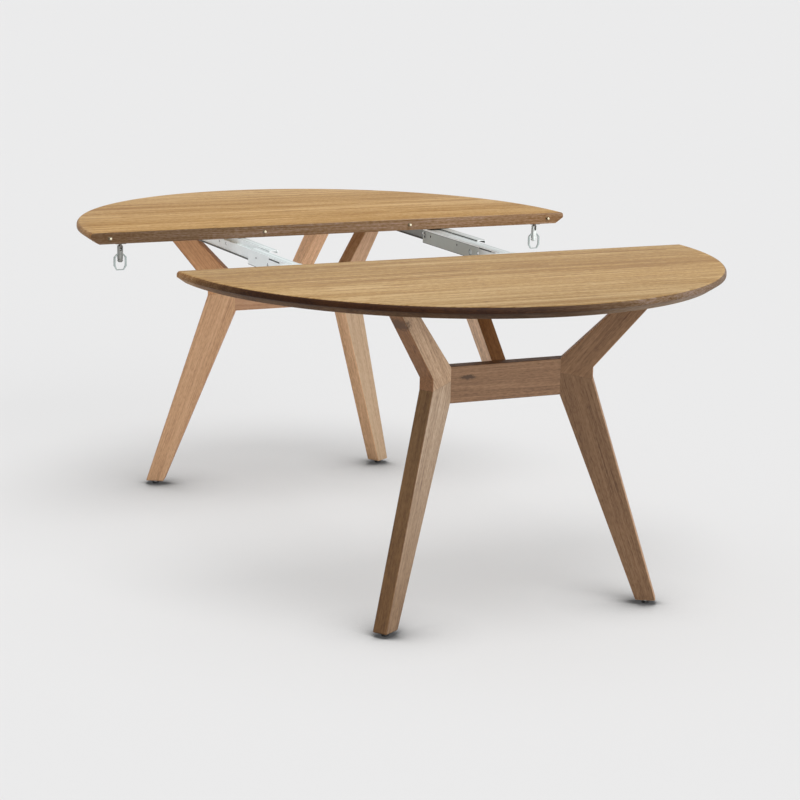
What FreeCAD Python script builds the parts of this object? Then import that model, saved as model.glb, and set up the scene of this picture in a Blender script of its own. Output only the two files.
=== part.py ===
import FreeCAD, Part
import math
import os

# Round oak dining table that splits across the middle and draws apart for a leaf.
# Frame: millimetres, +Z up, origin on the floor under the middle of the open gap,
# +X along the two cut edges, the rear half towards +Y and the front half towards -Y.

V = FreeCAD.Vector
X_AXIS = V(1, 0, 0)
Y_AXIS = V(0, 1, 0)
Z_AXIS = V(0, 0, 1)

# ---------------------------------------------------------------- driving dimensions
TABLE_HEIGHT = 745.0
TOP_RADIUS = 650.0
TOP_THICKNESS = 28.0
OPEN_GAP = 574.0
RIM_ROUND = 8.0            # round-over between the top face and the rim
RIM_NOSE_DROP = 13.0       # the widest line of the rim lies this far below the top face
RIM_BEVEL_RUN = 22.0       # the under-bevel runs this far in from the widest line
CUT_EDGE_EASE = 1.0        # small chamfer along the cut edges

TIMBER = 36.0              # thickness of the legs, arms and braces
TIMBER_EASE = 2.5          # rounding of their long edges
FOOT_EASE = 2.0
SPLAY_DEG = 31.0           # plan angle between the cut edges and a leg's plane
KNEE_X = 137.0             # where a leg's inner knee edge meets the stretcher
KNEE_Y = 612.0
KNEE_WIDTH = 72.5
STRETCHER_TOP_Z = 560.0
STRETCHER_LOW_Z = 478.0
MITRE_INNER_Z = 527.5
OUTER_KNEE_TOP_Z = 543.0
OUTER_KNEE_LOW_Z = 516.5
ARM_REACH = 157.0          # inner edge of an arm at the underside of the top
ARM_TOP_WIDTH = 61.0
FOOT_REACH = 189.0
FOOT_WIDTH = 46.0
LEG_LOW_Z = 9.6
BRACE_TOP_FAR = 431.0      # the brace arm at the underside of the top, from the middle
BRACE_TOP_NEAR = 364.0
BRACE_ROOT_TOP_Z = 553.0
BRACE_ROOT_LOW_Z = 492.0

DOWEL_R = 5.0
DOWEL_HOLE_R = 5.05
MITRE_DOWEL_LENGTH = 50.0
MITRE_DOWEL_REACHES = (34.0, 56.0)
STRETCHER_DOWEL_ZS = (500.0, 538.5)
BRACE_DOWEL_ZS = (517.0, 541.0)

PLATE_THICKNESS = 4.0
PLATE_LENGTH = 118.0
PLATE_WIDTH = 34.0
PLATE_END_ROUND = 6.0
PLATE_TOP_SCREW_PITCH = 98.0   # screws up into the top, outside the arm
PLATE_ARM_SCREW_PITCH = 26.0   # countersunk screws down into the arm
PLATE_LEG_ARM_SHIFT = -8.5     # plate's middle from the arm's middle, to follow its slope
PLATE_BRACE_SHIFT = 5.5

PAD_R = 8.5
PAD_TOP_R = 8.0
PAD_HEIGHT = 6.0
STEM_FLANGE_R = 7.0
STEM_R = 3.0
STEM_LENGTH = 26.0

PIN_R = 3.0
PIN_FREE_LENGTH = 9.0
PIN_TIP_ROUND = 1.0
PIN_SHANK_R = 4.0          # thicker end that is driven into the wood
PIN_SUNK_LENGTH = 20.0
PIN_DROP = 14.0            # pin axis below the top face
PIN_XS = (-602.0, -200.0, 200.0, 602.0)
BUSH_BORE_R = 3.08
BUSH_OUTER_R = 5.0
BUSH_LENGTH = 18.0

RAIL_X = 281.0             # middle of each extension runner, either side
RAIL_SHEET = 2.0
RAIL_PACK = 1.0            # packing washers that hold a rail's flange off the top
REAR_RAIL_Y = (87.0, 607.0)
FRONT_RAIL_Y = (-520.0, -110.0)
MIDDLE_RAIL_LENGTH = 490.0
LEFT_MIDDLE_REAR_Y = 147.0
RIGHT_MIDDLE_REAR_Y = 330.0
MIDDLE_RAIL_LEFT = -20.0   # rail sections are drawn as offset from RAIL_X and depth
MIDDLE_RAIL_RIGHT = 8.0    # below the top
MIDDLE_RAIL_DEPTHS = (4.0, 41.0)
MIDDLE_RAIL_LIP = 6.0
STRIP_Y = (-43.0, 20.0)     # black wear strip let into a window near the top of the web
STRIP_DEPTHS = (7.7, 11.0)
END_SLOT_LENGTH = 12.0     # upright slot near the right middle rail's rear end
END_SLOT_HEIGHT = 17.0
REAR_RAIL_WEB = 0.0
REAR_RAIL_DEPTHS = (12.0, 38.4)
REAR_RAIL_TOE = -3.0
REAR_RAIL_RISER = 10.0
REAR_RAIL_RIGHT = 33.0
REAR_RAIL_LIP_DEPTH = 9.0
NECK_WINDOW_OFFSETS = (5.0, 9.5)
FRONT_RAIL_LEFT = -48.0
FRONT_RAIL_WEB = -26.0
FRONT_RAIL_TOP_RIGHT = 4.0
FRONT_RAIL_LOW_RIGHT = 0.0
FRONT_RAIL_DEPTH = 44.0
SLIDER_LENGTH = 40.0
SLIDER_PLAY = 0.4
REAR_RAIL_SCREW_OFFSET = 22.0
FRONT_RAIL_SCREW_OFFSET = -38.0
REAR_RAIL_SCREW_YS = (312.0, 446.0, 580.0)
FRONT_RAIL_SCREW_YS = (-505.0, -406.0, -307.0)

LATCH_X = 571.5
LATCH_PIVOT_Y = 300.0
LATCH_PIVOT_DROP = 10.5    # pivot axis below the underside of the top
LATCH_PIN_R = 2.0
LATCH_BORE_R = 2.05
LATCH_PIN_LENGTH = 12.0
BARREL_R = 7.0
BARREL_COLLAR_R = 5.8
BARREL_RISE = 4.5          # the barrel's flat upper end stands this far above the pivot
BARREL_LENGTH = 36.0
CLAW_THICKNESS = 3.0
CLAW_TOP_BAR = 3.0
CLAW_TOP_DROP = 16.0        # the loop's top edge lies this far from the pivot
KEEPER_REACH = 46.0        # the keeper stud stands this far from the pivot when shut
KEEPER_STUD_R = 3.5
KEEPER_HEAD_R = 5.5

SCREW_R = 2.0
SCREW_HOLE_R = 2.1
SCREW_HEAD_R = 4.0
SCREW_HEAD_HEIGHT = 2.4
SCREW_GRIP = 16.0
SMALL_SCREW_R = 1.2
SMALL_SCREW_HOLE_R = 1.3
SMALL_SCREW_HEAD_R = 2.4
SMALL_SCREW_HEAD_HEIGHT = 1.4
SMALL_SCREW_GRIP = 11.0

# ---------------------------------------------------------------- worked-out places
UNDERSIDE_Z = TABLE_HEIGHT - TOP_THICKNESS
ARM_TOP_Z = UNDERSIDE_Z - PLATE_THICKNESS
CUT_Y = OPEN_GAP / 2
PIN_Z = TABLE_HEIGHT - PIN_DROP
SPLAY = math.radians(SPLAY_DEG)
STRETCHER_THICKNESS = TIMBER * math.cos(SPLAY)
STRETCHER_INNER_Y = KNEE_Y - STRETCHER_THICKNESS
STRETCHER_SKEW = TIMBER * math.sin(SPLAY)
LATCH_PIVOT_Z = UNDERSIDE_Z - LATCH_PIVOT_DROP
REAR, FRONT = 1, -1
LEFT, RIGHT = -1, 1
SIDE_NAMES = {LEFT: "left", RIGHT: "right"}
HALF_NAMES = {REAR: "rear", FRONT: "front"}


def write(name, shape):
    """Save one sub-part, or one group of like sub-parts, as its own STEP file."""
    if not shape.isValid():
        raise ValueError(name + " is not a valid shape")
    os.makedirs("parts", exist_ok=True)
    shape.exportStep("parts/" + name + ".step")


def group(solids):
    """Several separate solids that share one node."""
    return Part.makeCompound(solids)


def prism(points, direction):
    """A flat outline pulled along a direction."""
    outline = Part.makePolygon(list(points) + [points[0]])
    return Part.Face(outline).extrude(direction)


def cylinder(radius, length, base, axis):
    return Part.makeCylinder(radius, length, base, axis)


def turned(profile, base):
    """A solid turned about the vertical axis from (radius, height) points."""
    points = [V(radius, 0, height) for radius, height in profile]
    face = Part.Face(Part.makePolygon(points + [points[0]]))
    solid = face.revolve(V(0, 0, 0), Z_AXIS, 360)
    solid.translate(base)
    return solid


# ---------------------------------------------------------------- table tops
def half_disc(half):
    """One half of the round top: flat face, eased rim and an under-bevel."""
    low = UNDERSIDE_Z
    high = TABLE_HEIGHT
    rim_in = TOP_RADIUS - RIM_ROUND
    nose = V(TOP_RADIUS, 0, high - RIM_NOSE_DROP)
    round_start = V(TOP_RADIUS, 0, high - RIM_ROUND)
    round_mid = V(rim_in + RIM_ROUND * math.cos(math.pi / 4), 0,
                  high - RIM_ROUND + RIM_ROUND * math.sin(math.pi / 4))
    round_end = V(rim_in, 0, high)
    bevel_end = V(TOP_RADIUS - RIM_BEVEL_RUN, 0, low)
    edges = [
        Part.LineSegment(V(0, 0, low), bevel_end).toShape(),
        Part.LineSegment(bevel_end, nose).toShape(),
        Part.LineSegment(nose, round_start).toShape(),
        Part.Arc(round_start, round_mid, round_end).toShape(),
        Part.LineSegment(round_end, V(0, 0, high)).toShape(),
        Part.LineSegment(V(0, 0, high), V(0, 0, low)).toShape(),
    ]
    disc = Part.Face(Part.Wire(edges)).revolve(V(0, 0, 0), Z_AXIS, 360)
    return disc.translated(V(0, half * CUT_Y, 0)).common(cut_side_block(half))


def cut_side_block(half):
    """Everything on one side of the gap, its two long cut edges eased."""
    low, high, ease = UNDERSIDE_Z, TABLE_HEIGHT, CUT_EDGE_EASE
    far = CUT_Y + TOP_RADIUS + 10.0
    outline = [(CUT_Y + ease, low), (CUT_Y, low + ease), (CUT_Y, high - ease),
               (CUT_Y + ease, high), (far, high), (far, low)]
    start = -TOP_RADIUS - 10.0
    return prism([V(start, half * y, z) for y, z in outline], V(-2 * start, 0, 0))


# ---------------------------------------------------------------- timber frames
class LegPlane:
    """The upright plane of one leg: reach runs outwards, depth from the outer face in."""

    def __init__(self, side, half):
        self.outwards = V(side * math.cos(SPLAY), half * math.sin(SPLAY), 0)
        self.inwards = V(side * math.sin(SPLAY), -half * math.cos(SPLAY), 0)
        self.root = V(side * KNEE_X, half * KNEE_Y, 0)

    def at(self, reach, z, depth=0.0):
        return self.root + self.outwards * reach + self.inwards * depth + Z_AXIS * z

    def board(self, profile):
        """A board of full timber thickness from (reach, z) points."""
        return prism([self.at(reach, z) for reach, z in profile], self.inwards * TIMBER)


def arm_edge(low, high, z):
    """Reach of a straight edge between two (reach, z) points, at height z."""
    share = (z - low[1]) / (high[1] - low[1])
    return low[0] + share * (high[0] - low[0])


def arm_profile():
    """Upper arm: from the mitre at the knee up to its mounting plate."""
    inner_low = (0.0, STRETCHER_TOP_Z)
    inner_high = (ARM_REACH, UNDERSIDE_Z)
    outer_low = (KNEE_WIDTH, OUTER_KNEE_TOP_Z)
    outer_high = (ARM_REACH + ARM_TOP_WIDTH, UNDERSIDE_Z)
    return [
        (0.0, MITRE_INNER_Z),
        inner_low,
        (arm_edge(inner_low, inner_high, ARM_TOP_Z), ARM_TOP_Z),
        (arm_edge(outer_low, outer_high, ARM_TOP_Z), ARM_TOP_Z),
        outer_low,
        (KNEE_WIDTH, OUTER_KNEE_LOW_Z),
    ]


def leg_profile():
    """Lower leg: from the mitre at the knee down to the foot, tapering."""
    return [
        (0.0, MITRE_INNER_Z),
        (KNEE_WIDTH, OUTER_KNEE_LOW_Z),
        (FOOT_REACH + FOOT_WIDTH, LEG_LOW_Z),
        (FOOT_REACH, LEG_LOW_Z),
        (0.0, STRETCHER_LOW_Z),
    ]


def long_edges(plane, solid, profile, spans):
    """Edges of a board over the named spans of its profile, on both broad faces."""
    found = []
    for index in spans:
        start = profile[index]
        end = profile[(index + 1) % len(profile)]
        for depth in (0.0, TIMBER):
            middle = (plane.at(*start, depth) + plane.at(*end, depth)) * 0.5
            found += [e for e in solid.Edges if e.CenterOfMass.distanceToPoint(middle) < 0.5]
    return found


def make_arm(plane):
    profile = arm_profile()
    solid = plane.board(profile)
    return solid.makeFillet(TIMBER_EASE, long_edges(plane, solid, profile, (1, 3, 4)))


def make_leg(plane):
    profile = leg_profile()
    solid = plane.board(profile)
    solid = solid.makeFillet(TIMBER_EASE, long_edges(plane, solid, profile, (1, 3)))
    foot = [f for f in solid.Faces if f.BoundBox.ZMax < LEG_LOW_Z + 0.01]
    return solid.makeChamfer(FOOT_EASE, foot[0].Edges)


def make_stretcher(half):
    """Level bar between the knees, its ends cut to the splay of the legs."""
    corners = [
        V(-KNEE_X, half * KNEE_Y, STRETCHER_LOW_Z),
        V(KNEE_X, half * KNEE_Y, STRETCHER_LOW_Z),
        V(KNEE_X + STRETCHER_SKEW, half * STRETCHER_INNER_Y, STRETCHER_LOW_Z),
        V(-KNEE_X - STRETCHER_SKEW, half * STRETCHER_INNER_Y, STRETCHER_LOW_Z),
    ]
    bar = prism(corners, V(0, 0, STRETCHER_TOP_Z - STRETCHER_LOW_Z))
    return bar.makeChamfer(1.0, [e for e in bar.Edges if e.BoundBox.XLength > 2 * KNEE_X - 1])


def make_brace_arm(half):
    """Third arm: from the middle of the stretcher up towards the cut edge."""
    low_top = (STRETCHER_INNER_Y, BRACE_ROOT_TOP_Z)
    low_foot = (STRETCHER_INNER_Y, BRACE_ROOT_LOW_Z)
    far = arm_edge(low_top, (BRACE_TOP_FAR, UNDERSIDE_Z), ARM_TOP_Z)
    near = arm_edge(low_foot, (BRACE_TOP_NEAR, UNDERSIDE_Z), ARM_TOP_Z)
    outline = [low_top, (far, ARM_TOP_Z), (near, ARM_TOP_Z), low_foot]
    points = [V(-TIMBER / 2, half * y, z) for y, z in outline]
    solid = prism(points, V(TIMBER, 0, 0))
    slanted = [e for e in solid.Edges if e.BoundBox.YLength > 100 and e.BoundBox.ZLength > 100]
    return solid.makeFillet(TIMBER_EASE, slanted)


def mitre_dowels(plane, radius):
    """Dowels across the mitre between an arm and its leg."""
    inner = V(0, 0, MITRE_INNER_Z)
    outer = plane.outwards * KNEE_WIDTH + V(0, 0, OUTER_KNEE_LOW_Z)
    along = (outer - inner).normalize()
    across = plane.inwards.cross(along).normalize()
    if across.z < 0:
        across = across * -1
    slope = (OUTER_KNEE_LOW_Z - MITRE_INNER_Z) / KNEE_WIDTH
    dowels = []
    for reach in MITRE_DOWEL_REACHES:
        middle = plane.at(reach, MITRE_INNER_Z + slope * reach, TIMBER / 2)
        base = middle - across * (MITRE_DOWEL_LENGTH / 2)
        dowels.append(cylinder(radius, MITRE_DOWEL_LENGTH, base, across))
    return dowels


def stretcher_dowels(side, half, radius):
    """Dowels from one end of the stretcher into the arm and the leg."""
    middle_y = half * (KNEE_Y - STRETCHER_THICKNESS / 2)
    start = V(side * (KNEE_X - 17.0), middle_y, 0)
    length = 44.0
    return [cylinder(radius, length, start + Z_AXIS * z, X_AXIS * side) for z in STRETCHER_DOWEL_ZS]


def brace_dowels(half, radius):
    """Dowels from the stretcher into the foot of the brace arm."""
    start = half * (STRETCHER_INNER_Y - 13.5)
    return [cylinder(radius, 33.5, V(0, start, z), Y_AXIS * half) for z in BRACE_DOWEL_ZS]


# ---------------------------------------------------------------- fasteners
def pan_screw(seat, axis, radius, head_radius, head_height, grip):
    """Pan-head screw: seat is the centre of the face under the head."""
    head = cylinder(head_radius, head_height, seat - axis * head_height, axis)
    rim = [e for e in head.Edges if e.Closed and e.CenterOfMass.distanceToPoint(seat) > head_height / 2]
    head = head.makeChamfer(head_height * 0.4, rim)
    return head.fuse(cylinder(radius, grip, seat, axis)).removeSplitter()


def wood_screw(seat, axis):
    return pan_screw(seat, axis, SCREW_R, SCREW_HEAD_R, SCREW_HEAD_HEIGHT, SCREW_GRIP)


def small_screw(seat, axis):
    return pan_screw(seat, axis, SMALL_SCREW_R, SMALL_SCREW_HEAD_R,
                     SMALL_SCREW_HEAD_HEIGHT, SMALL_SCREW_GRIP)


def countersunk_screw(face, axis):
    """Countersunk screw whose head lies flush at face."""
    head_height = SCREW_HEAD_R - SCREW_R
    head = Part.makeCone(SCREW_HEAD_R, SCREW_R, head_height, face, axis)
    shank = cylinder(SCREW_R, SCREW_GRIP + PLATE_THICKNESS, face, axis)
    return head.fuse(shank).removeSplitter()


def hole(seat, axis, length, radius=SCREW_HOLE_R):
    """Cutter for a screw hole that starts at seat."""
    return cylinder(radius, length, seat, axis)


# ---------------------------------------------------------------- mounting plates
class MountingPlate:
    """Steel plate between the top end of an arm and the underside of the top."""

    def __init__(self, centre, along):
        self.centre = centre
        self.along = along
        self.across = Z_AXIS.cross(along)

    def spot(self, pitch, sign, z):
        return self.centre + self.along * (sign * pitch / 2) + Z_AXIS * z

    def solid(self):
        half_length = PLATE_LENGTH / 2
        half_width = PLATE_WIDTH / 2
        corners = [self.centre + self.along * (a * half_length) + self.across * (b * half_width)
                   + Z_AXIS * ARM_TOP_Z for a, b in ((-1, -1), (1, -1), (1, 1), (-1, 1))]
        plate = prism(corners, V(0, 0, PLATE_THICKNESS))
        uprights = [e for e in plate.Edges if e.BoundBox.ZLength > PLATE_THICKNESS / 2]
        plate = plate.makeFillet(PLATE_END_ROUND, uprights)
        for sign in (-1, 1):
            outer = self.spot(PLATE_TOP_SCREW_PITCH, sign, ARM_TOP_Z)
            inner = self.spot(PLATE_ARM_SCREW_PITCH, sign, UNDERSIDE_Z)
            sink = Part.makeCone(SCREW_HEAD_R, SCREW_R, SCREW_HEAD_R - SCREW_R, inner, -Z_AXIS)
            plate = plate.cut(hole(outer, Z_AXIS, PLATE_THICKNESS))
            plate = plate.cut(sink)
            plate = plate.cut(hole(inner, -Z_AXIS, PLATE_THICKNESS))
        return plate

    def top_screw_seats(self):
        return [self.spot(PLATE_TOP_SCREW_PITCH, sign, ARM_TOP_Z) for sign in (-1, 1)]

    def arm_screw_seats(self):
        return [self.spot(PLATE_ARM_SCREW_PITCH, sign, UNDERSIDE_Z) for sign in (-1, 1)]

    def screws(self):
        up = [wood_screw(seat, Z_AXIS) for seat in self.top_screw_seats()]
        down = [countersunk_screw(seat, -Z_AXIS) for seat in self.arm_screw_seats()]
        return up + down

    def top_holes(self):
        return [hole(seat, Z_AXIS, SCREW_GRIP + 1.0) for seat in self.top_screw_seats()]

    def arm_holes(self):
        depth = SCREW_GRIP + PLATE_THICKNESS + 1.0
        return [hole(seat, -Z_AXIS, depth) for seat in self.arm_screw_seats()]


def arm_plate(plane):
    reach = ARM_REACH + ARM_TOP_WIDTH / 2 + PLATE_LEG_ARM_SHIFT
    return MountingPlate(plane.at(reach, 0.0, TIMBER / 2), plane.outwards)


def brace_plate(half):
    middle = (BRACE_TOP_FAR + BRACE_TOP_NEAR) / 2 + PLATE_BRACE_SHIFT
    return MountingPlate(V(0, half * middle, 0), Y_AXIS)


# ---------------------------------------------------------------- feet
def foot_centre(plane):
    return plane.at(FOOT_REACH + FOOT_WIDTH / 2, 0.0, TIMBER / 2)


def foot_pad(plane):
    """Black nylon pad that stands on the floor."""
    profile = [(0, 0), (PAD_R - 1.0, 0), (PAD_R, 1.0), (PAD_TOP_R, PAD_HEIGHT), (0, PAD_HEIGHT)]
    return turned(profile, foot_centre(plane))


def foot_stem(plane):
    """Steel glide stem: a flange under the leg and a spigot up inside it."""
    profile = [(0, PAD_HEIGHT), (STEM_FLANGE_R, PAD_HEIGHT), (STEM_FLANGE_R, LEG_LOW_Z),
               (STEM_R, LEG_LOW_Z), (STEM_R, LEG_LOW_Z + STEM_LENGTH), (0, LEG_LOW_Z + STEM_LENGTH)]
    return turned(profile, foot_centre(plane))


def foot_hole(plane):
    base = foot_centre(plane) + Z_AXIS * LEG_LOW_Z
    return cylinder(STEM_R + 0.05, STEM_LENGTH + 1.0, base, Z_AXIS)


# ---------------------------------------------------------------- pins and bushes
def alignment_pin(x):
    """Brass pin pressed into the rear cut face, its free end rounded."""
    mouth = V(x, CUT_Y, PIN_Z)
    free_end = cylinder(PIN_R, PIN_FREE_LENGTH, mouth, -Y_AXIS)
    tip = [e for e in free_end.Edges if e.Closed and e.CenterOfMass.y < CUT_Y - 1.0]
    shank = cylinder(PIN_SHANK_R, PIN_SUNK_LENGTH, mouth, Y_AXIS)
    return free_end.makeFillet(PIN_TIP_ROUND, tip).fuse(shank)


def pin_bush(x):
    """Brass bush let into the front cut face to take a pin."""
    mouth = V(x, -CUT_Y, PIN_Z)
    sleeve = cylinder(BUSH_OUTER_R, BUSH_LENGTH, mouth, -Y_AXIS)
    return sleeve.cut(cylinder(BUSH_BORE_R, BUSH_LENGTH, mouth, -Y_AXIS))


# ---------------------------------------------------------------- extension runners
def rail_prism(side, section, span):
    """A rolled section, given as (offset, depth) points, between two Y places."""
    centre = side * RAIL_X
    points = [V(centre + offset, span[0], UNDERSIDE_Z - depth) for offset, depth in section]
    return prism(points, V(0, span[1] - span[0], 0))


def web_holes(solid, side, offset, holes):
    """Round holes through an upright web: (y, depth, diameter) each."""
    for y, depth, diameter in holes:
        start = V(side * RAIL_X + offset - 3.0, y, UNDERSIDE_Z - depth)
        solid = solid.cut(cylinder(diameter / 2, RAIL_SHEET + 6.0, start, X_AXIS))
    return solid


def middle_section():
    """Lipped channel, open to the right."""
    left, right, sheet, lip = MIDDLE_RAIL_LEFT, MIDDLE_RAIL_RIGHT, RAIL_SHEET, MIDDLE_RAIL_LIP
    top, low = MIDDLE_RAIL_DEPTHS
    return [
        (left, top), (right, top), (right, top + lip), (right - sheet, top + lip),
        (right - sheet, top + sheet), (left + sheet, top + sheet), (left + sheet, low - sheet),
        (right - sheet, low - sheet), (right - sheet, low - lip), (right, low - lip),
        (right, low), (left, low),
    ]


def make_wear_strip(side):
    """Black nylon strip that fills the window near the top of a middle rail's web."""
    left = MIDDLE_RAIL_LEFT
    right = left + RAIL_SHEET
    top, low = STRIP_DEPTHS
    return rail_prism(side, [(left, top), (right, top), (right, low), (left, low)], STRIP_Y)


def web_slot(side, offset, y, depth):
    """Cutter for a slot with a round top and bottom, taller than it is long."""
    radius = END_SLOT_LENGTH / 2
    straight = END_SLOT_HEIGHT - END_SLOT_LENGTH
    x = side * RAIL_X + offset - 3.0
    length = RAIL_SHEET + 6.0
    low = V(x, y, UNDERSIDE_Z - depth - straight / 2)
    middle = Part.makeBox(length, END_SLOT_LENGTH, straight, low - Y_AXIS * radius)
    ends = [cylinder(radius, length, low + Z_AXIS * rise, X_AXIS) for rise in (0.0, straight)]
    return middle.fuse(ends)


def make_middle_rail(side, rear_y, holes, slots):
    """Middle member: runs in the rear rail and carries the front rail."""
    rail = rail_prism(side, middle_section(), (rear_y - MIDDLE_RAIL_LENGTH, rear_y))
    rail = web_holes(rail, side, MIDDLE_RAIL_LEFT, holes)
    for y, depth in slots:
        rail = rail.cut(web_slot(side, MIDDLE_RAIL_LEFT, y, depth))
    return rail.cut(make_wear_strip(side))


def rear_section():
    """Folded sheet: toe, web, neck, riser and the flange that is screwed to the top."""
    web, sheet, toe, riser = REAR_RAIL_WEB, RAIL_SHEET, REAR_RAIL_TOE, REAR_RAIL_RISER
    top, low = REAR_RAIL_DEPTHS
    right = REAR_RAIL_RIGHT
    flange = RAIL_PACK
    return [
        (toe, low), (web + sheet, low), (web + sheet, top + sheet), (riser + sheet, top + sheet),
        (riser + sheet, flange + sheet), (right - sheet, flange + sheet),
        (right - sheet, REAR_RAIL_LIP_DEPTH), (right, REAR_RAIL_LIP_DEPTH), (right, flange),
        (riser, flange), (riser, top), (web, top), (web, low - sheet), (toe, low - sheet),
    ]


def neck_window(side, span):
    """Cutter for a long narrow window through the neck, beside the riser."""
    top = REAR_RAIL_DEPTHS[0]
    left, right = NECK_WINDOW_OFFSETS
    section = [(left, top - 1.0), (right, top - 1.0), (right, top + 3.0), (left, top + 3.0)]
    return rail_prism(side, section, span)


def make_rear_rail(side, holes, windows):
    """Member fixed to the rear top; windows are the Y spans of its neck windows."""
    rail = rail_prism(side, rear_section(), REAR_RAIL_Y)
    rail = web_holes(rail, side, REAR_RAIL_WEB, holes)
    for span in windows:
        rail = rail.cut(neck_window(side, span))
    for seat in rail_seats(side, REAR):
        rail = rail.cut(hole(seat - Z_AXIS, Z_AXIS, RAIL_SHEET + 2.0))
    return rail


def front_section():
    """Channel that wraps the middle rail from outside, with a flange along its top."""
    left, web, sheet = FRONT_RAIL_LEFT, FRONT_RAIL_WEB, RAIL_SHEET
    flange = RAIL_PACK
    low = FRONT_RAIL_DEPTH
    return [
        (left, flange), (FRONT_RAIL_TOP_RIGHT, flange), (FRONT_RAIL_TOP_RIGHT, flange + sheet),
        (web + sheet, flange + sheet), (web + sheet, low - sheet),
        (FRONT_RAIL_LOW_RIGHT, low - sheet), (FRONT_RAIL_LOW_RIGHT, low), (web, low),
        (web, flange + sheet), (left, flange + sheet),
    ]


def make_front_rail(side):
    rail = rail_prism(side, front_section(), FRONT_RAIL_Y)
    for seat in rail_seats(side, FRONT):
        rail = rail.cut(hole(seat - Z_AXIS, Z_AXIS, RAIL_SHEET + 2.0))
    return rail


def rail_seats(side, half):
    """Where the screws' heads bear on a rail's flange."""
    offset, ys = REAR_RAIL_SCREW_OFFSET, REAR_RAIL_SCREW_YS
    if half == FRONT:
        offset, ys = FRONT_RAIL_SCREW_OFFSET, FRONT_RAIL_SCREW_YS
    z = UNDERSIDE_Z - RAIL_PACK - RAIL_SHEET
    return [V(side * RAIL_X + offset, y, z) for y in ys]


def rail_packer(seat):
    """Washer that holds the flange one millimetre off the wood."""
    base = V(seat.x, seat.y, UNDERSIDE_Z - RAIL_PACK)
    washer = cylinder(6.0, RAIL_PACK, base, Z_AXIS)
    return washer.cut(cylinder(SCREW_HOLE_R, RAIL_PACK, base, Z_AXIS))


def rear_slider(side):
    """Nylon block on the rear rail's end, running inside the middle rail."""
    left = MIDDLE_RAIL_LEFT + RAIL_SHEET + SLIDER_PLAY
    top = MIDDLE_RAIL_DEPTHS[0] + RAIL_SHEET + SLIDER_PLAY
    low = REAR_RAIL_DEPTHS[1] - RAIL_SHEET
    section = [(left, top), (REAR_RAIL_WEB, top), (REAR_RAIL_WEB, low), (left, low)]
    start = REAR_RAIL_Y[0] + 1.0
    return rail_prism(side, section, (start, start + SLIDER_LENGTH))


def front_slider(side):
    """Nylon strip inside the front rail's end, bearing on the middle rail's web."""
    left = FRONT_RAIL_WEB + RAIL_SHEET
    right = MIDDLE_RAIL_LEFT - SLIDER_PLAY
    top = RAIL_PACK + RAIL_SHEET
    low = FRONT_RAIL_DEPTH - RAIL_SHEET
    section = [(left, top), (right, top), (right, low), (left, low)]
    end = FRONT_RAIL_Y[1] - 1.0
    return rail_prism(side, section, (end - SLIDER_LENGTH, end))


# ---------------------------------------------------------------- latches
BRACKET_PLATE = (26.0, 22.0)
BRACKET_SHEET = 1.8
EAR_THICKNESS = 5.0
EAR_HALF_LENGTH = 4.6
FORK_PLAY = 0.3            # between the ear and each cheek of the barrel's fork
FORK_DEPTH = 7.6           # the fork's slot ends this far below the pivot


def pivot_point(side):
    return V(side * LATCH_X, LATCH_PIVOT_Y, LATCH_PIVOT_Z)


def latch_bracket_screw_seats(side):
    z = UNDERSIDE_Z - BRACKET_SHEET
    return [V(side * LATCH_X + dx, LATCH_PIVOT_Y + 3.0, z) for dx in (-9.0, 9.0)]


def make_latch_bracket(side):
    """Small steel plate under the rear top with one ear that carries the latch's pivot."""
    pivot = pivot_point(side)
    width, length = BRACKET_PLATE
    plate_z = UNDERSIDE_Z - BRACKET_SHEET
    corner = V(pivot.x - width / 2, pivot.y - length / 2 + 2.0, plate_z)
    plate = Part.makeBox(width, length, BRACKET_SHEET, corner)
    plate = plate.makeFillet(2.5, [e for e in plate.Edges if e.BoundBox.ZLength > BRACKET_SHEET / 2])
    ear_base = pivot - X_AXIS * (EAR_THICKNESS / 2)
    neck_corner = V(ear_base.x, pivot.y - EAR_HALF_LENGTH, pivot.z)
    neck = Part.makeBox(EAR_THICKNESS, 2 * EAR_HALF_LENGTH, plate_z - pivot.z, neck_corner)
    ear = neck.fuse(cylinder(EAR_HALF_LENGTH, EAR_THICKNESS, ear_base, X_AXIS))
    bracket = plate.fuse(ear).removeSplitter()
    bracket = bracket.cut(cylinder(LATCH_PIN_R, EAR_THICKNESS, ear_base, X_AXIS))
    for seat in latch_bracket_screw_seats(side):
        bracket = bracket.cut(hole(seat, Z_AXIS, BRACKET_SHEET, SMALL_SCREW_HOLE_R))
    return bracket


def make_latch_pin(side):
    """Pivot pin pressed through the bracket's ear, its ends inside the barrel's fork."""
    start = pivot_point(side) - X_AXIS * (LATCH_PIN_LENGTH / 2)
    return cylinder(LATCH_PIN_R, LATCH_PIN_LENGTH, start, X_AXIS)


def claw_slab(side, corners, thickness):
    """Slab seen along Y with a symmetrical outline; corners are (half width, drop)."""
    y = LATCH_PIVOT_Y - thickness / 2
    mirrored = [(-x, drop) for x, drop in reversed(corners)]
    points = [V(side * LATCH_X + x, y, LATCH_PIVOT_Z - drop) for x, drop in corners + mirrored]
    return prism(points, V(0, thickness, 0))


def make_latch_claw(side):
    """Flat eight-sided steel loop that drops over the keeper stud of the front half."""
    outer = [(9.0, CLAW_TOP_DROP), (16.5, 24.5), (16.5, 45.0), (9.6, 56.0)]
    inner = [(7.8, CLAW_TOP_DROP + CLAW_TOP_BAR), (12.0, 25.2), (12.0, 44.2), (8.0, 53.8)]
    ring = claw_slab(side, outer, CLAW_THICKNESS).cut(claw_slab(side, inner, CLAW_THICKNESS * 3))
    edges = [e for e in ring.Edges if e.BoundBox.YLength > CLAW_THICKNESS / 2]
    return ring.makeFillet(0.8, edges)


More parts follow.
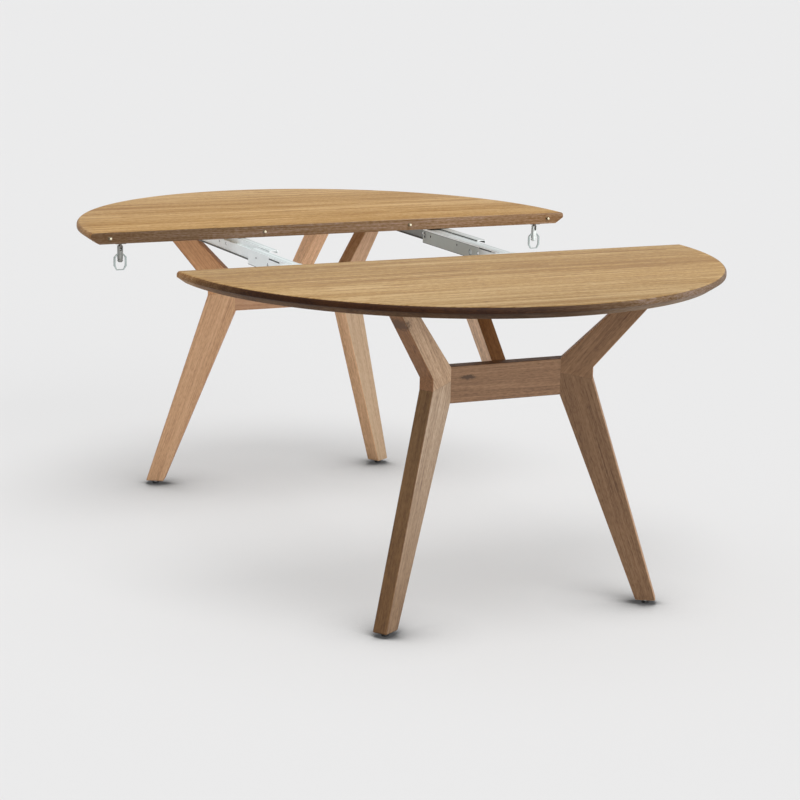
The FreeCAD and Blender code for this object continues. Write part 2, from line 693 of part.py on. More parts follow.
def make_latch_barrel(side):
    """Barrel whose fork swings on the pivot; the claw sits in a slot across it."""
    pivot = pivot_point(side)
    rise = BARREL_RISE
    profile = [(0, rise), (BARREL_R - 1.2, rise), (BARREL_R, rise - 1.2), (BARREL_R, -28.0),
               (BARREL_COLLAR_R, -28.8), (BARREL_COLLAR_R, -30.0), (BARREL_R, -30.8),
               (BARREL_R, -33.0), (BARREL_R - 2.5, -BARREL_LENGTH), (0, -BARREL_LENGTH)]
    barrel = turned(profile, pivot)
    mouth_width = EAR_THICKNESS + 2 * FORK_PLAY
    mouth_corner = pivot - V(mouth_width / 2, 2 * BARREL_R, FORK_DEPTH)
    barrel = barrel.cut(Part.makeBox(mouth_width, 4 * BARREL_R, FORK_DEPTH + 2 * BARREL_R, mouth_corner))
    barrel = barrel.cut(cylinder(LATCH_BORE_R, 4 * BARREL_R, pivot - X_AXIS * (2 * BARREL_R), X_AXIS))
    slot_low = LATCH_PIVOT_Z - CLAW_TOP_DROP - CLAW_TOP_BAR
    slot_corner = V(pivot.x - BARREL_R - 1.0, pivot.y - CLAW_THICKNESS / 2, slot_low)
    slot = Part.makeBox(2 * BARREL_R + 2.0, CLAW_THICKNESS, CLAW_TOP_BAR, slot_corner)
    return barrel.cut(slot).removeSplitter()


def keeper_centre(side):
    """Keeper stud under the front top, in the open table's place."""
    return V(side * LATCH_X, LATCH_PIVOT_Y - KEEPER_REACH - OPEN_GAP, 0)


def keeper_screw_seats(side):
    centre = keeper_centre(side)
    return [centre + V(dx, 0, UNDERSIDE_Z - BRACKET_SHEET) for dx in (-10.0, 10.0)]


def make_latch_keeper(side):
    """Headed stud on a small plate, which the claw hooks when the table is shut."""
    centre = keeper_centre(side)
    plate_z = UNDERSIDE_Z - BRACKET_SHEET
    plate = Part.makeBox(28.0, 14.0, BRACKET_SHEET, centre + V(-14.0, -7.0, plate_z))
    uprights = [e for e in plate.Edges if e.BoundBox.ZLength > BRACKET_SHEET / 2]
    plate = plate.makeFillet(3.0, uprights)
    stud_profile = [(0, plate_z), (KEEPER_STUD_R, plate_z), (KEEPER_STUD_R, plate_z - 11.0),
                    (KEEPER_HEAD_R, plate_z - 12.0), (KEEPER_HEAD_R, plate_z - 13.5), (0, plate_z - 13.5)]
    keeper = plate.fuse(turned(stud_profile, centre)).removeSplitter()
    for seat in keeper_screw_seats(side):
        keeper = keeper.cut(hole(seat, Z_AXIS, BRACKET_SHEET, SMALL_SCREW_HOLE_R))
    return keeper


# ---------------------------------------------------------------- whole halves
def write_frame(half):
    """Legs, arms, stretcher, brace arm, dowels, plates, screws and feet of one half."""
    name = HALF_NAMES[half]
    planes = {side: LegPlane(side, half) for side in (LEFT, RIGHT)}
    end_dowels = []
    knee_dowels = []
    plates = []
    end_holes = []
    for side, plane in planes.items():
        plate = arm_plate(plane)
        plates.append(plate)
        knee_dowels += mitre_dowels(plane, DOWEL_R)
        end_dowels += stretcher_dowels(side, half, DOWEL_R)
        knee_holes = mitre_dowels(plane, DOWEL_HOLE_R)
        side_holes = stretcher_dowels(side, half, DOWEL_HOLE_R)
        end_holes += side_holes
        arm = make_arm(plane).cut(knee_holes + side_holes + plate.arm_holes())
        leg = make_leg(plane).cut(knee_holes + side_holes + [foot_hole(plane)])
        write(f"{name}_{SIDE_NAMES[side]}_arm", arm)
        write(f"{name}_{SIDE_NAMES[side]}_leg", leg)
    plates.append(brace_plate(half))
    brace_holes = brace_dowels(half, DOWEL_HOLE_R)
    brace = make_brace_arm(half).cut(brace_holes + plates[-1].arm_holes())
    write(f"{name}_brace_arm", brace)
    write(f"{name}_stretcher", make_stretcher(half).cut(end_holes + brace_holes))
    write(f"{name}_mitre_dowels", group(knee_dowels))
    write(f"{name}_stretcher_dowels", group(end_dowels + brace_dowels(half, DOWEL_R)))
    write(f"{name}_mounting_plates", group([p.solid() for p in plates]))
    write(f"{name}_plate_screws", group([s for p in plates for s in p.screws()]))
    write(f"{name}_foot_pads", group([foot_pad(p) for p in planes.values()]))
    write(f"{name}_foot_stems", group([foot_stem(p) for p in planes.values()]))
    return [h for p in plates for h in p.top_holes()]


def write_runner_ends(half):
    """Rails fixed to one half, with their packing washers, screws and sliders."""
    name = HALF_NAMES[half]
    seats = []
    sliders = []
    for side in (LEFT, RIGHT):
        seats += rail_seats(side, half)
        if half == REAR:
            holes = {LEFT: ((383.0, 20.5, 6.0), (337.0, 20.0, 9.0)), RIGHT: ((371.0, 24.0, 9.0),)}[side]
            windows = {LEFT: ((284.0, 350.0),), RIGHT: ()}[side]
            rail = make_rear_rail(side, holes, windows)
            sliders.append(rear_slider(side))
        else:
            rail = make_front_rail(side)
            sliders.append(front_slider(side))
        write(f"{SIDE_NAMES[side]}_{name}_rail", rail)
    write(f"{name}_rail_packers", group([rail_packer(seat) for seat in seats]))
    write(f"{name}_rail_screws", group([wood_screw(seat, Z_AXIS) for seat in seats]))
    write(f"{name}_rail_sliders", group(sliders))
    return [hole(V(s.x, s.y, UNDERSIDE_Z), Z_AXIS, SCREW_GRIP - 2.0) for s in seats]


def write_rear_half():
    cutters = write_frame(REAR) + write_runner_ends(REAR)
    cutters += [cylinder(PIN_SHANK_R, PIN_SUNK_LENGTH, V(x, CUT_Y, PIN_Z), Y_AXIS) for x in PIN_XS]
    bracket_screws = []
    for side in (LEFT, RIGHT):
        write(f"{SIDE_NAMES[side]}_latch_bracket", make_latch_bracket(side))
        for seat in latch_bracket_screw_seats(side):
            bracket_screws.append(small_screw(seat, Z_AXIS))
            cutters.append(hole(seat, Z_AXIS, SMALL_SCREW_GRIP + 1.0, SMALL_SCREW_HOLE_R))
    write("latch_bracket_screws", group(bracket_screws))
    write("latch_pivot_pins", group([make_latch_pin(side) for side in (LEFT, RIGHT)]))
    write("alignment_pins", group([alignment_pin(x) for x in PIN_XS]))
    write("rear_top", half_disc(REAR).cut(cutters))


def write_front_half():
    cutters = write_frame(FRONT) + write_runner_ends(FRONT)
    cutters += [cylinder(BUSH_OUTER_R, BUSH_LENGTH, V(x, -CUT_Y, PIN_Z), -Y_AXIS) for x in PIN_XS]
    screws = []
    for side in (LEFT, RIGHT):
        write(f"{SIDE_NAMES[side]}_latch_keeper", make_latch_keeper(side))
        for seat in keeper_screw_seats(side):
            screws.append(small_screw(seat, Z_AXIS))
            cutters.append(hole(seat, Z_AXIS, SMALL_SCREW_GRIP + 1.0, SMALL_SCREW_HOLE_R))
    write("keeper_screws", group(screws))
    write("pin_bushes", group([pin_bush(x) for x in PIN_XS]))
    write("front_top", half_disc(FRONT).cut(cutters))


def write_middle_rails():
    left_holes = ((98.0, 19.0, 5.5), (26.0, 25.0, 10.0))
    right_holes = ((286.0, 19.5, 6.0), (140.0, 19.0, 5.0), (67.0, 27.0, 16.0), (28.0, 23.5, 9.0))
    right_slots = ((318.0, 20.0),)
    write("left_middle_rail", make_middle_rail(LEFT, LEFT_MIDDLE_REAR_Y, left_holes, ()))
    write("right_middle_rail", make_middle_rail(RIGHT, RIGHT_MIDDLE_REAR_Y, right_holes, right_slots))
    for side in (LEFT, RIGHT):
        write(f"{SIDE_NAMES[side]}_wear_strip", make_wear_strip(side))


def write_latches():
    for side in (LEFT, RIGHT):
        write(f"{SIDE_NAMES[side]}_latch_barrel", make_latch_barrel(side))
        write(f"{SIDE_NAMES[side]}_latch_claw", make_latch_claw(side))


write_rear_half()
write_front_half()
write_middle_rails()
write_latches()
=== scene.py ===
"""Dresses the split-top extension table: oak halves on splayed legs, drawn apart on steel runners."""

import logging
import math
from dataclasses import dataclass, replace
from enum import Enum

import bmesh
import bpy
from mathutils import Matrix, Vector


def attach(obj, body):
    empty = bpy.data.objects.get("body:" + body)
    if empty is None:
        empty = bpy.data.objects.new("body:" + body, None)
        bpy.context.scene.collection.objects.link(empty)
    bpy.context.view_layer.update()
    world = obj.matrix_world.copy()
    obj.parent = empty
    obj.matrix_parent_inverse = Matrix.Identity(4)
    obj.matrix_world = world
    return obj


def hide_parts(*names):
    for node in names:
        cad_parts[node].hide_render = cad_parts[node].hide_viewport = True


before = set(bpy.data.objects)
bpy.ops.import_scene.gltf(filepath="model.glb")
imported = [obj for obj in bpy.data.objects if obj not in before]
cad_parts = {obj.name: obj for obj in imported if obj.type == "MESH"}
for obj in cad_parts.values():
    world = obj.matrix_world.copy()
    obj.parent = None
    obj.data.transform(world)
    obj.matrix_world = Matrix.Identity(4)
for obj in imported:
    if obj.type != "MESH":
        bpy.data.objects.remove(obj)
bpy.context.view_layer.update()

LOG = logging.getLogger("extension_table")
Triple = tuple[float, float, float]
Colour = Triple
Span = tuple[float, float]
Socket = bpy.types.NodeSocket

# ------------------------------------------------------------------ shared sizes, in metres
TABLE_HEIGHT = 0.745
UNDERSIDE = 0.717
CUT_EDGE = 0.287
TIMBER = 0.036
SPLAY = math.radians(31.0)
KNEE = Vector((0.137, 0.6120, 0.0))
RUNNER_X = 0.281


class Named(Enum):
    """A side of the table that the CAD nodes name in small letters."""

    @property
    def word(self) -> str:
        """Name as the CAD nodes spell it."""
        return self.name.lower()


class Half(Named):
    """The two halves of the table, by the sign of Y that they stand at."""

    REAR = 1
    FRONT = -1

    @property
    def body(self) -> str:
        """Name of the moving body that this half belongs to."""
        return f"{self.word}_half"


class Side(Named):
    """Left and right, by the sign of X."""

    LEFT = -1
    RIGHT = 1


def lifted(height: float) -> Vector:
    """A step straight up."""
    return Vector((0, 0, height))


def leg_plane(half: Half, side: Side) -> tuple[Vector, Vector, Vector]:
    """Where the boards of one splayed leg and its arm stand.

    Args:
        half: the half of the table.
        side: the leg's side.

    Returns:
        The way outwards along the boards, the way through them, and the floor point below the knee's
        edge, in the middle of the timber.
    """
    outwards = Vector((side.value * math.cos(SPLAY), half.value * math.sin(SPLAY), 0.0))
    through = Vector((side.value * math.sin(SPLAY), -half.value * math.cos(SPLAY), 0.0))
    root = Vector((side.value * KNEE.x, half.value * KNEE.y, 0.0)) + through * (TIMBER / 2)
    return outwards, through, root


# ------------------------------------------------------------------ node trees
PLAIN: Colour = (1.0, 1.0, 1.0)
UNIT: Span = (0.0, 1.0)
FADE: Span = (1.0, 0.0)
NOISE_SPAN: Span = (0.3, 0.7)


class NodeGraph:
    """Adds and joins nodes in one shader or geometry tree."""

    def __init__(self, tree: bpy.types.NodeTree) -> None:
        """Keeps the tree.

        Args:
            tree: the tree to build in.
        """
        self.tree = tree

    def add(self, kind: str, inputs: dict | None = None, **settings: object) -> bpy.types.Node:
        """Adds a node.

        Args:
            kind: the node's type name.
            inputs: values or sockets for its inputs, by name or number.
            settings: the node's own properties.

        Returns:
            The new node.
        """
        node = self.tree.nodes.new(kind)
        for name, value in settings.items():
            setattr(node, name, value)
        for key, value in (inputs or {}).items():
            self.feed(node.inputs[key], value)
        return node

    def feed(self, socket: Socket, value: object) -> None:
        """Links a socket to an input, or sets the input's own value.

        Args:
            socket: the input.
            value: a socket to link, or a plain value.
        """
        if isinstance(value, bpy.types.NodeSocket):
            self.tree.links.new(value, socket)
        else:
            socket.default_value = value

    def maths(self, operation: str, *values: object) -> Socket:
        """Adds a Math node.

        Args:
            operation: the node's operation.
            values: numbers or sockets, in order.

        Returns:
            The result's socket.
        """
        return self.add("ShaderNodeMath", dict(enumerate(values)), operation=operation).outputs[0]

    def vector(self, operation: str, *values: object) -> Socket:
        """Adds a Vector Math node.

        Args:
            operation: the node's operation; a length and a dot product are numbers.
            values: vectors or sockets, in order.

        Returns:
            The result's socket.
        """
        node = self.add("ShaderNodeVectorMath", dict(enumerate(values)), operation=operation)
        return node.outputs["Value" if operation in ("LENGTH", "DOT_PRODUCT") else "Vector"]

    def parts(self, vector: Socket) -> list[Socket]:
        """Takes a vector apart into X, Y and Z."""
        return list(self.add("ShaderNodeSeparateXYZ", {0: vector}).outputs)

    def joined(self, x: object, y: object, z: object) -> Socket:
        """Puts three numbers together into a vector."""
        return self.add("ShaderNodeCombineXYZ", {0: x, 1: y, 2: z}).outputs[0]

    def place(self) -> Socket:
        """Place on the object in metres, which is the place in the table at rest."""
        return self.add("ShaderNodeTexCoord").outputs["Object"]

    def normal(self) -> Socket:
        """The way that the surface looks."""
        return self.add("ShaderNodeNewGeometry").outputs["Normal"]

    def centred(self, value: Socket, weight: float, base: object) -> Socket:
        """Adds a weighted value to a base, counted from the value's middle at one half."""
        return self.maths("MULTIPLY_ADD", self.maths("SUBTRACT", value, 0.5), weight, base)

    def polar(self, reach: Socket, angle: Socket) -> tuple[Socket, Socket]:
        """X and Y of a place on a circle.

        Args:
            reach: distance from the circle's middle.
            angle: angle from X in radians.

        Returns:
            X and Y.
        """
        x = self.maths("MULTIPLY", reach, self.maths("COSINE", angle))
        y = self.maths("MULTIPLY", reach, self.maths("SINE", angle))
        return x, y

    def remap(self, value: Socket, span: Span, onto: Span = UNIT, smooth: bool = False) -> Socket:
        """Maps a range of values onto another, clamped.

        Args:
            value: the socket to map.
            span: the range that it is taken from.
            onto: the values at the range's ends.
            smooth: eases both ends.

        Returns:
            The mapped socket.
        """
        inputs = {"Value": value, "From Min": span[0], "From Max": span[1],
                  "To Min": onto[0], "To Max": onto[1]}
        style = "SMOOTHSTEP" if smooth else "LINEAR"
        return self.add("ShaderNodeMapRange", inputs, interpolation_type=style).outputs[0]

    def noise(self, place: Socket, waves: Triple, detail: float = 2.0, roughness: float = 0.5) -> Socket:
        """Adds a noise stretched by its own scale along each axis.

        Args:
            place: coordinates in metres.
            waves: waves per metre along each axis.
            detail: octaves.
            roughness: weight of the finer octaves.

        Returns:
            The noise's factor, 0 to 1.
        """
        stretched = self.vector("MULTIPLY", place, waves)
        inputs = {"Vector": stretched, "Scale": 1.0, "Detail": detail, "Roughness": roughness}
        return self.add("ShaderNodeTexNoise", inputs).outputs[0]

    def mix(self, factor: object, first: object, second: object, blend: str = "MIX") -> Socket:
        """Mixes two colours.

        Args:
            factor: share of the second.
            first: colour or socket.
            second: colour or socket.
            blend: blend type.

        Returns:
            The mixed colour.
        """
        node = self.add("ShaderNodeMix", data_type="RGBA", blend_type=blend)
        for index, value in ((0, factor), (6, first), (7, second)):
            self.feed(node.inputs[index], value)
        return node.outputs[2]

    def tinted(self, colour: object, tint: object, share: object = 1.0) -> Socket:
        """Multiplies a colour by a tint, as far as the share says."""
        return self.mix(share, colour, tint, "MULTIPLY")

    def ramp(self, value: Socket, stops: list[tuple[float, Colour]]) -> Socket:
        """Adds a colour ramp.

        Args:
            value: the socket that drives it.
            stops: place and colour of each stop.

        Returns:
            The colour socket.
        """
        node = self.add("ShaderNodeValToRGB", {0: value})
        elements = node.color_ramp.elements
        while len(elements) < len(stops):
            elements.new(0.5)
        for element, (place, colour) in zip(elements, stops):
            element.position = place
            element.color = rgba(colour)
        return node.outputs[0]


def rgba(colour: Colour) -> tuple[float, float, float, float]:
    """A colour with full alpha."""
    return (*colour, 1.0)


class Surface:
    """A material under way: its graph and its Principled shader."""

    def __init__(self, name: str) -> None:
        """Starts the material.

        Args:
            name: its name.
        """
        self.material = bpy.data.materials.new(name)
        self.material.use_nodes = True
        self.graph = NodeGraph(self.material.node_tree)
        self.shader = self.material.node_tree.nodes["Principled BSDF"]

    def feed(self, label: str, value: object) -> None:
        """Sets or links one input of the shader."""
        self.graph.feed(self.shader.inputs[label], value)

    def roughen(self, grain: Socket, roughness: float, less: float, more: float) -> None:
        """Lets a noise vary the roughness.

        Args:
            grain: the noise.
            roughness: the middle value.
            less: how far it falls below that.
            more: how far it rises above that.
        """
        self.feed("Roughness", self.graph.remap(grain, NOISE_SPAN, (roughness - less, roughness + more)))

    def raise_relief(self, height: Socket, strength: float, distance: float) -> None:
        """Gives the surface a fine relief.

        Args:
            height: the relief's height.
            strength: how strongly it shows.
            distance: metres of one whole step.
        """
        relief = {"Strength": strength, "Distance": distance, "Height": height}
        self.feed("Normal", self.graph.add("ShaderNodeBump", relief).outputs[0])


# ------------------------------------------------------------------ wood
@dataclass(frozen=True)
class Grain:
    """Where a board was cut: its own axes for the figure of the wood."""

    origin: Vector
    along: Vector
    thick: Vector
    pith: float = 0.07

    def turn(self) -> Triple:
        """Turns the wood's axes to the board's: X along the grain, Z through the thickness.

        Returns:
            The Euler angles.
        """
        across = self.thick.cross(self.along).normalized()
        thick = self.along.cross(across).normalized()
        columns = Matrix((self.along.normalized(), across, thick)).transposed()
        return tuple(columns.to_euler())


@dataclass(frozen=True)
class Facing:
    """Painted light and shade: a tint for the faces of a board that look one way, deeper towards the left
    where it fades.
    """

    direction: Triple
    tint: Colour
    begins: float = 0.25
    full: float = 0.72
    left_share: float = 1.0


@dataclass(frozen=True)
class Mark:
    """A dark natural mark in the wood, as a ragged ellipsoid in metres."""

    place: Triple
    size: Triple
    strength: float


@dataclass(frozen=True)
class Seam:
    """A glue line: a plane that cuts the board's surface."""

    place: Triple
    normal: Triple


@dataclass(frozen=True)
class Rim:
    """Round rim of a top, whose painted shade deepens from the top face down to the nose and is lighter on
    the under-bevel.
    """

    centre_y: float
    reach: Span = (0.6220, 0.6270)
    upper: float = 0.7447
    nose: float = 0.7335
    bevel_share: float = 0.72


@dataclass(frozen=True)
class BoardTone:
    """Painted light and shade on a board's broad faces, narrow faces and faces that look one way, and its
    marks.

    The broad and narrow tints paint the light and shade on those faces, and with it the board's own tone.
    The foot tints are a leg's painted shade: they deepen its broad and its narrow faces towards the floor.
    The near share is a top's painted shade: what its broad face keeps of its tone at the foremost edge.
    """

    broad: Colour = PLAIN
    narrow: Colour = PLAIN
    facings: tuple[Facing, ...] = ()
    marks: tuple[Mark, ...] = ()
    rim: Rim | None = None
    foot: Colour | None = None
    foot_edge: Colour = PLAIN
    near_share: float = 1.0


@dataclass(frozen=True)
class Figure:
    """The figure that all the oak shares, with its waves per metre along, across and through."""

    fibres: Triple = (6.0, 620.0, 620.0)
    lines: Triple = (2.4, 190.0, 190.0)
    flecks: Triple = (85.0, 320.0, 320.0)
    sway: Triple = (1.6, 9.0, 9.0)
    sway_reach: float = 0.030
    ring_middle: float = 0.35
    ring_sharpness: float = 2.2
    pores: Triple = (24.0, 1100.0, 1100.0)
    pore_span: Span = (0.58, 0.70)
    summer_pores: float = 0.25
    pore_depth: float = 0.42
    fibre_relief: float = 0.6
    stave_moves: Triple = (7.0, 0.11, 0.05)
    stave_joint: Span = (0.4925, 0.4985)
    stave_joint_tone: float = -0.16
    knot_spacing: Triple = (0.34, 0.13, 0.4)
    knot_squeeze: Triple = (0.45, 1.0, 0.0)
    knot_core: Span = (0.0008, 0.0024)
    knot_smear: Span = (0.001, 0.009)
    knot_smear_depth: float = 0.16
    mark_edge: Span = (0.45, 1.05)
    mark_waves: Triple = (190.0, 190.0, 190.0)
    mark_raggedness: float = 1.3
    seam_edge: Span = (0.0006, 0.0012)
    seam_depth: float = 0.32
    burnt_share: float = 0.35
    dark_stop: float = 0.16
    middle_stop: float = 0.5
    light_stop: float = 0.84


@dataclass(frozen=True)
class Fading:
    """Where the painted light and shade of the boards change over, in metres of place or in shares of a
    face's way.
    """

    narrow_way: Span = (0.78, 0.97)
    rim_begins: Span = (0.0010, 0.0030)
    near_depths: Span = (-0.92, -0.64)
    foot_heights: Span = (0.05, 0.45)
    left_reach: Span = (-0.40, 0.55)


FIGURE = Figure()
FADING = Fading()


@dataclass(frozen=True)
class OakFinish:
    """Oiled oak with rings, streaks, pores and a few knots."""

    light: Colour
    middle: Colour
    dark: Colour
    ring_spacing: float = 0.0042
    ring_weight: float = 0.20
    streak_weight: float = 1.2
    streak_scale: Triple = (0.9, 27.0, 27.0)
    line_weight: float = 0.9
    fleck_weight: float = 0.0
    fibre_weight: float = 0.5
    stave_width: float = 0.0
    stave_tone: float = 0.0
    knots: float = 0.0
    roughness: float = 0.5
    gloss: float = 0.3

    def material(self, name: str, grain: Grain, tone: BoardTone = BoardTone(),
                 seams: tuple[Seam, ...] = ()) -> bpy.types.Material:
        """Builds the material for one board.

        Args:
            name: material name.
            grain: the board's axes.
            tone: painted light and shade of its faces, and its marks.
            seams: glue lines across it.

        Returns:
            The material.
        """
        surface = Surface(name)
        graph = surface.graph
        local = self._local(graph, grain)
        shift: object = 0.0
        if self.stave_width:
            local, shift = self._staves(graph, local)
        fibres = graph.noise(local, FIGURE.fibres, detail=3.0)
        rings = self._rings(graph, local, grain.pith)
        pores = self._pores(graph, local, rings)
        value = graph.maths("ADD", self._figure(graph, local, rings, fibres), shift)
        colour = graph.ramp(value, [(FIGURE.dark_stop, self.dark), (FIGURE.middle_stop, self.middle),
                                    (FIGURE.light_stop, self.light)])
        colour = graph.mix(graph.maths("MULTIPLY", pores, FIGURE.pore_depth), colour, rgba(self.dark))
        burnt = rgba(tuple(channel * FIGURE.burnt_share for channel in self.dark))
        if self.knots:
            colour = graph.mix(self._knots(graph, local), colour, burnt)
        colour = graph.tinted(colour, self._tone(graph, grain, tone))
        place = graph.place()
        for mark in tone.marks:
            colour = graph.mix(self._mark(graph, place, mark), colour, burnt)
        for seam in seams:
            colour = graph.mix(self._seam(graph, place, seam), colour, burnt)
        surface.feed("Base Color", colour)
        surface.roughen(fibres, self.roughness, less=0.06, more=0.08)
        surface.feed("Specular IOR Level", self.gloss)
        height = graph.maths("SUBTRACT", graph.maths("MULTIPLY", fibres, FIGURE.fibre_relief), pores)
        surface.raise_relief(height, strength=0.2, distance=0.0004)
        return surface.material

    def _figure(self, graph: NodeGraph, local: Socket, rings: Socket, fibres: Socket) -> Socket:
        """Adds up the bands, rings, lines and fibres.

        Args:
            graph: graph of the material.
            local: the board's coordinates.
            rings: the year rings.
            fibres: the finest lines.

        Returns:
            About 0 in the darkest to 1 in the lightest wood.
        """
        streaks = graph.noise(local, self.streak_scale, detail=4.0, roughness=0.6)
        lines = graph.noise(local, FIGURE.lines, detail=3.0, roughness=0.6)
        value = graph.centred(streaks, self.streak_weight, 0.5)
        pale = graph.maths("SUBTRACT", FIGURE.ring_middle, rings)
        value = graph.maths("MULTIPLY_ADD", pale, self.ring_weight, value)
        value = graph.centred(lines, self.line_weight, value)
        if self.fleck_weight:
            flecks = graph.noise(local, FIGURE.flecks, detail=2.0, roughness=0.6)
            value = graph.centred(flecks, self.fleck_weight, value)
        return graph.centred(fibres, self.fibre_weight, value)

    def _local(self, graph: NodeGraph, grain: Grain) -> Socket:
        """Places turned into the board's own axes."""
        inputs = {"Vector": graph.place(), "Location": grain.origin, "Rotation": grain.turn()}
        return graph.add("ShaderNodeMapping", inputs, vector_type="TEXTURE").outputs[0]

    def _staves(self, graph: NodeGraph, local: Socket) -> tuple[Socket, Socket]:
        """Cuts the board into glued staves, each from another log.

        Args:
            graph: graph of the material.
            local: the board's coordinates.

        Returns:
            The stave's own coordinates, and its tone.
        """
        along, across, through = graph.parts(local)
        share = graph.maths("DIVIDE", across, self.stave_width)
        index = graph.maths("FLOOR", share)
        random = graph.add("ShaderNodeTexWhiteNoise", {"W": index}, noise_dimensions="1D")
        within = graph.maths("SUBTRACT", graph.maths("SUBTRACT", share, index), 0.5)
        spread = graph.add("ShaderNodeSeparateColor", {0: random.outputs["Color"]}).outputs
        move_x, move_y, move_z = FIGURE.stave_moves
        moved = graph.joined(
            graph.maths("MULTIPLY_ADD", spread[0], move_x, along),
            graph.centred(spread[1], move_y, graph.maths("MULTIPLY", within, self.stave_width)),
            graph.maths("MULTIPLY_ADD", spread[2], move_z, through))
        joint = graph.remap(graph.maths("ABSOLUTE", within), FIGURE.stave_joint,
                            (0.0, FIGURE.stave_joint_tone))
        return moved, graph.centred(random.outputs["Value"], self.stave_tone, joint)

    def _rings(self, graph: NodeGraph, local: Socket, pith: float) -> Socket:
        """Year rings about a pith that lies below the board.

        Args:
            graph: graph of the material.
            local: the board's coordinates.
            pith: depth of the pith below the board.

        Returns:
            0 in the pale summer wood to 1 at the dark line of a year.
        """
        _, across, through = graph.parts(local)
        depth = graph.maths("ADD", through, pith)
        distance = graph.maths("SQRT", graph.maths("ADD", graph.maths("MULTIPLY", across, across),
                                                   graph.maths("MULTIPLY", depth, depth)))
        sway = graph.noise(local, FIGURE.sway, detail=3.0)
        wavy = graph.maths("MULTIPLY_ADD", sway, FIGURE.sway_reach, distance)
        phase = graph.maths("FRACT", graph.maths("DIVIDE", wavy, self.ring_spacing))
        return graph.maths("POWER", phase, FIGURE.ring_sharpness)

    def _pores(self, graph: NodeGraph, local: Socket, rings: Socket) -> Socket:
        """Short dark pores drawn out along the grain, most of them near a year's dark line.

        Args:
            graph: graph of the material.
            local: the board's coordinates.
            rings: the year rings.

        Returns:
            0 in plain wood to 1 in a pore.
        """
        grains = graph.noise(local, FIGURE.pores, detail=1.0)
        crowd = graph.remap(rings, UNIT, (FIGURE.summer_pores, 1.0))
        return graph.maths("MULTIPLY", graph.remap(grains, FIGURE.pore_span), crowd)

    def _knots(self, graph: NodeGraph, local: Socket) -> Socket:
        """A few small dark pin knots, with a faint smear along the grain.

        Args:
            graph: graph of the material.
            local: the board's coordinates.

        Returns:
            0 in clear wood to 1 in a knot.
        """
        spacing = FIGURE.knot_spacing
        scaled = graph.vector("MULTIPLY", local, tuple(1.0 / step for step in spacing))
        cells = graph.add("ShaderNodeTexVoronoi", {"Vector": scaled, "Scale": 1.0}, voronoi_dimensions="2D")
        apart = graph.vector("SUBTRACT", scaled, cells.outputs["Position"])
        squeezed = tuple(step * factor for step, factor in zip(spacing, FIGURE.knot_squeeze))
        distance = graph.vector("LENGTH", graph.vector("MULTIPLY", apart, squeezed))
        chance = graph.add("ShaderNodeSeparateColor", {0: cells.outputs["Color"]}).outputs[0]
        chosen = graph.maths("LESS_THAN", chance, self.knots)
        core = graph.remap(distance, FIGURE.knot_core, FADE)
        smear = graph.remap(distance, FIGURE.knot_smear, (FIGURE.knot_smear_depth, 0.0))
        return graph.maths("MULTIPLY", chosen, graph.maths("MAXIMUM", core, smear))

    def _mark(self, graph: NodeGraph, place: Socket, mark: Mark) -> Socket:
        """One dark mark with a ragged edge.

        Args:
            graph: graph of the material.
            place: place on the board.
            mark: where it is and how far it reaches.

        Returns:
            0 outside to the mark's strength inside.
        """
        apart = graph.vector("SUBTRACT", place, mark.place)
        reach = graph.vector("LENGTH", graph.vector("DIVIDE", apart, mark.size))
        ragged = graph.noise(place, FIGURE.mark_waves, detail=3.0)
        reach = graph.centred(ragged, FIGURE.mark_raggedness, reach)
        return graph.remap(reach, FIGURE.mark_edge, (mark.strength, 0.0), smooth=True)

    def _seam(self, graph: NodeGraph, place: Socket, seam: Seam) -> Socket:
        """A thin dark line where two boards are glued.

        Args:
            graph: graph of the material.
            place: place on the board.
            seam: the plane of the joint.

        Returns:
            The line's mask.
        """
        away = graph.vector("DOT_PRODUCT", graph.vector("SUBTRACT", place, seam.place), seam.normal)
        return graph.remap(graph.maths("ABSOLUTE", away), FIGURE.seam_edge, (FIGURE.seam_depth, 0.0))

    def _rim(self, graph: NodeGraph, normal: Socket, rim: Rim) -> tuple[Socket, Socket]:
        """Takes the rim's outward way in place of its normal, so the round-over takes the painted shade
        whole.

        Args:
            graph: graph of the material.
            normal: the surface's normal.
            rim: the round rim.

        Returns:
            The way that a place looks, and how much of the rim's painted shade it takes.
        """
        apart = graph.vector("SUBTRACT", graph.place(), (0.0, rim.centre_y, 0.0))
        level = graph.vector("MULTIPLY", apart, (1.0, 1.0, 0.0))
        _, depth, height = graph.parts(apart)
        beside = graph.remap(graph.maths("ABSOLUTE", depth), FADING.rim_begins)
        on_rim = graph.maths("MULTIPLY", graph.remap(graph.vector("LENGTH", level), rim.reach), beside)
        fallen = graph.remap(height, (rim.upper, rim.nose))
        bevel = graph.remap(height, (UNDERSIDE, rim.nose), (rim.bevel_share, 1.0))
        share = graph.maths("MULTIPLY", on_rim, graph.maths("MULTIPLY", fallen, bevel))
        ways = {0: on_rim, 4: normal, 5: graph.vector("NORMALIZE", level)}
        return graph.add("ShaderNodeMix", ways, data_type="VECTOR").outputs[1], share

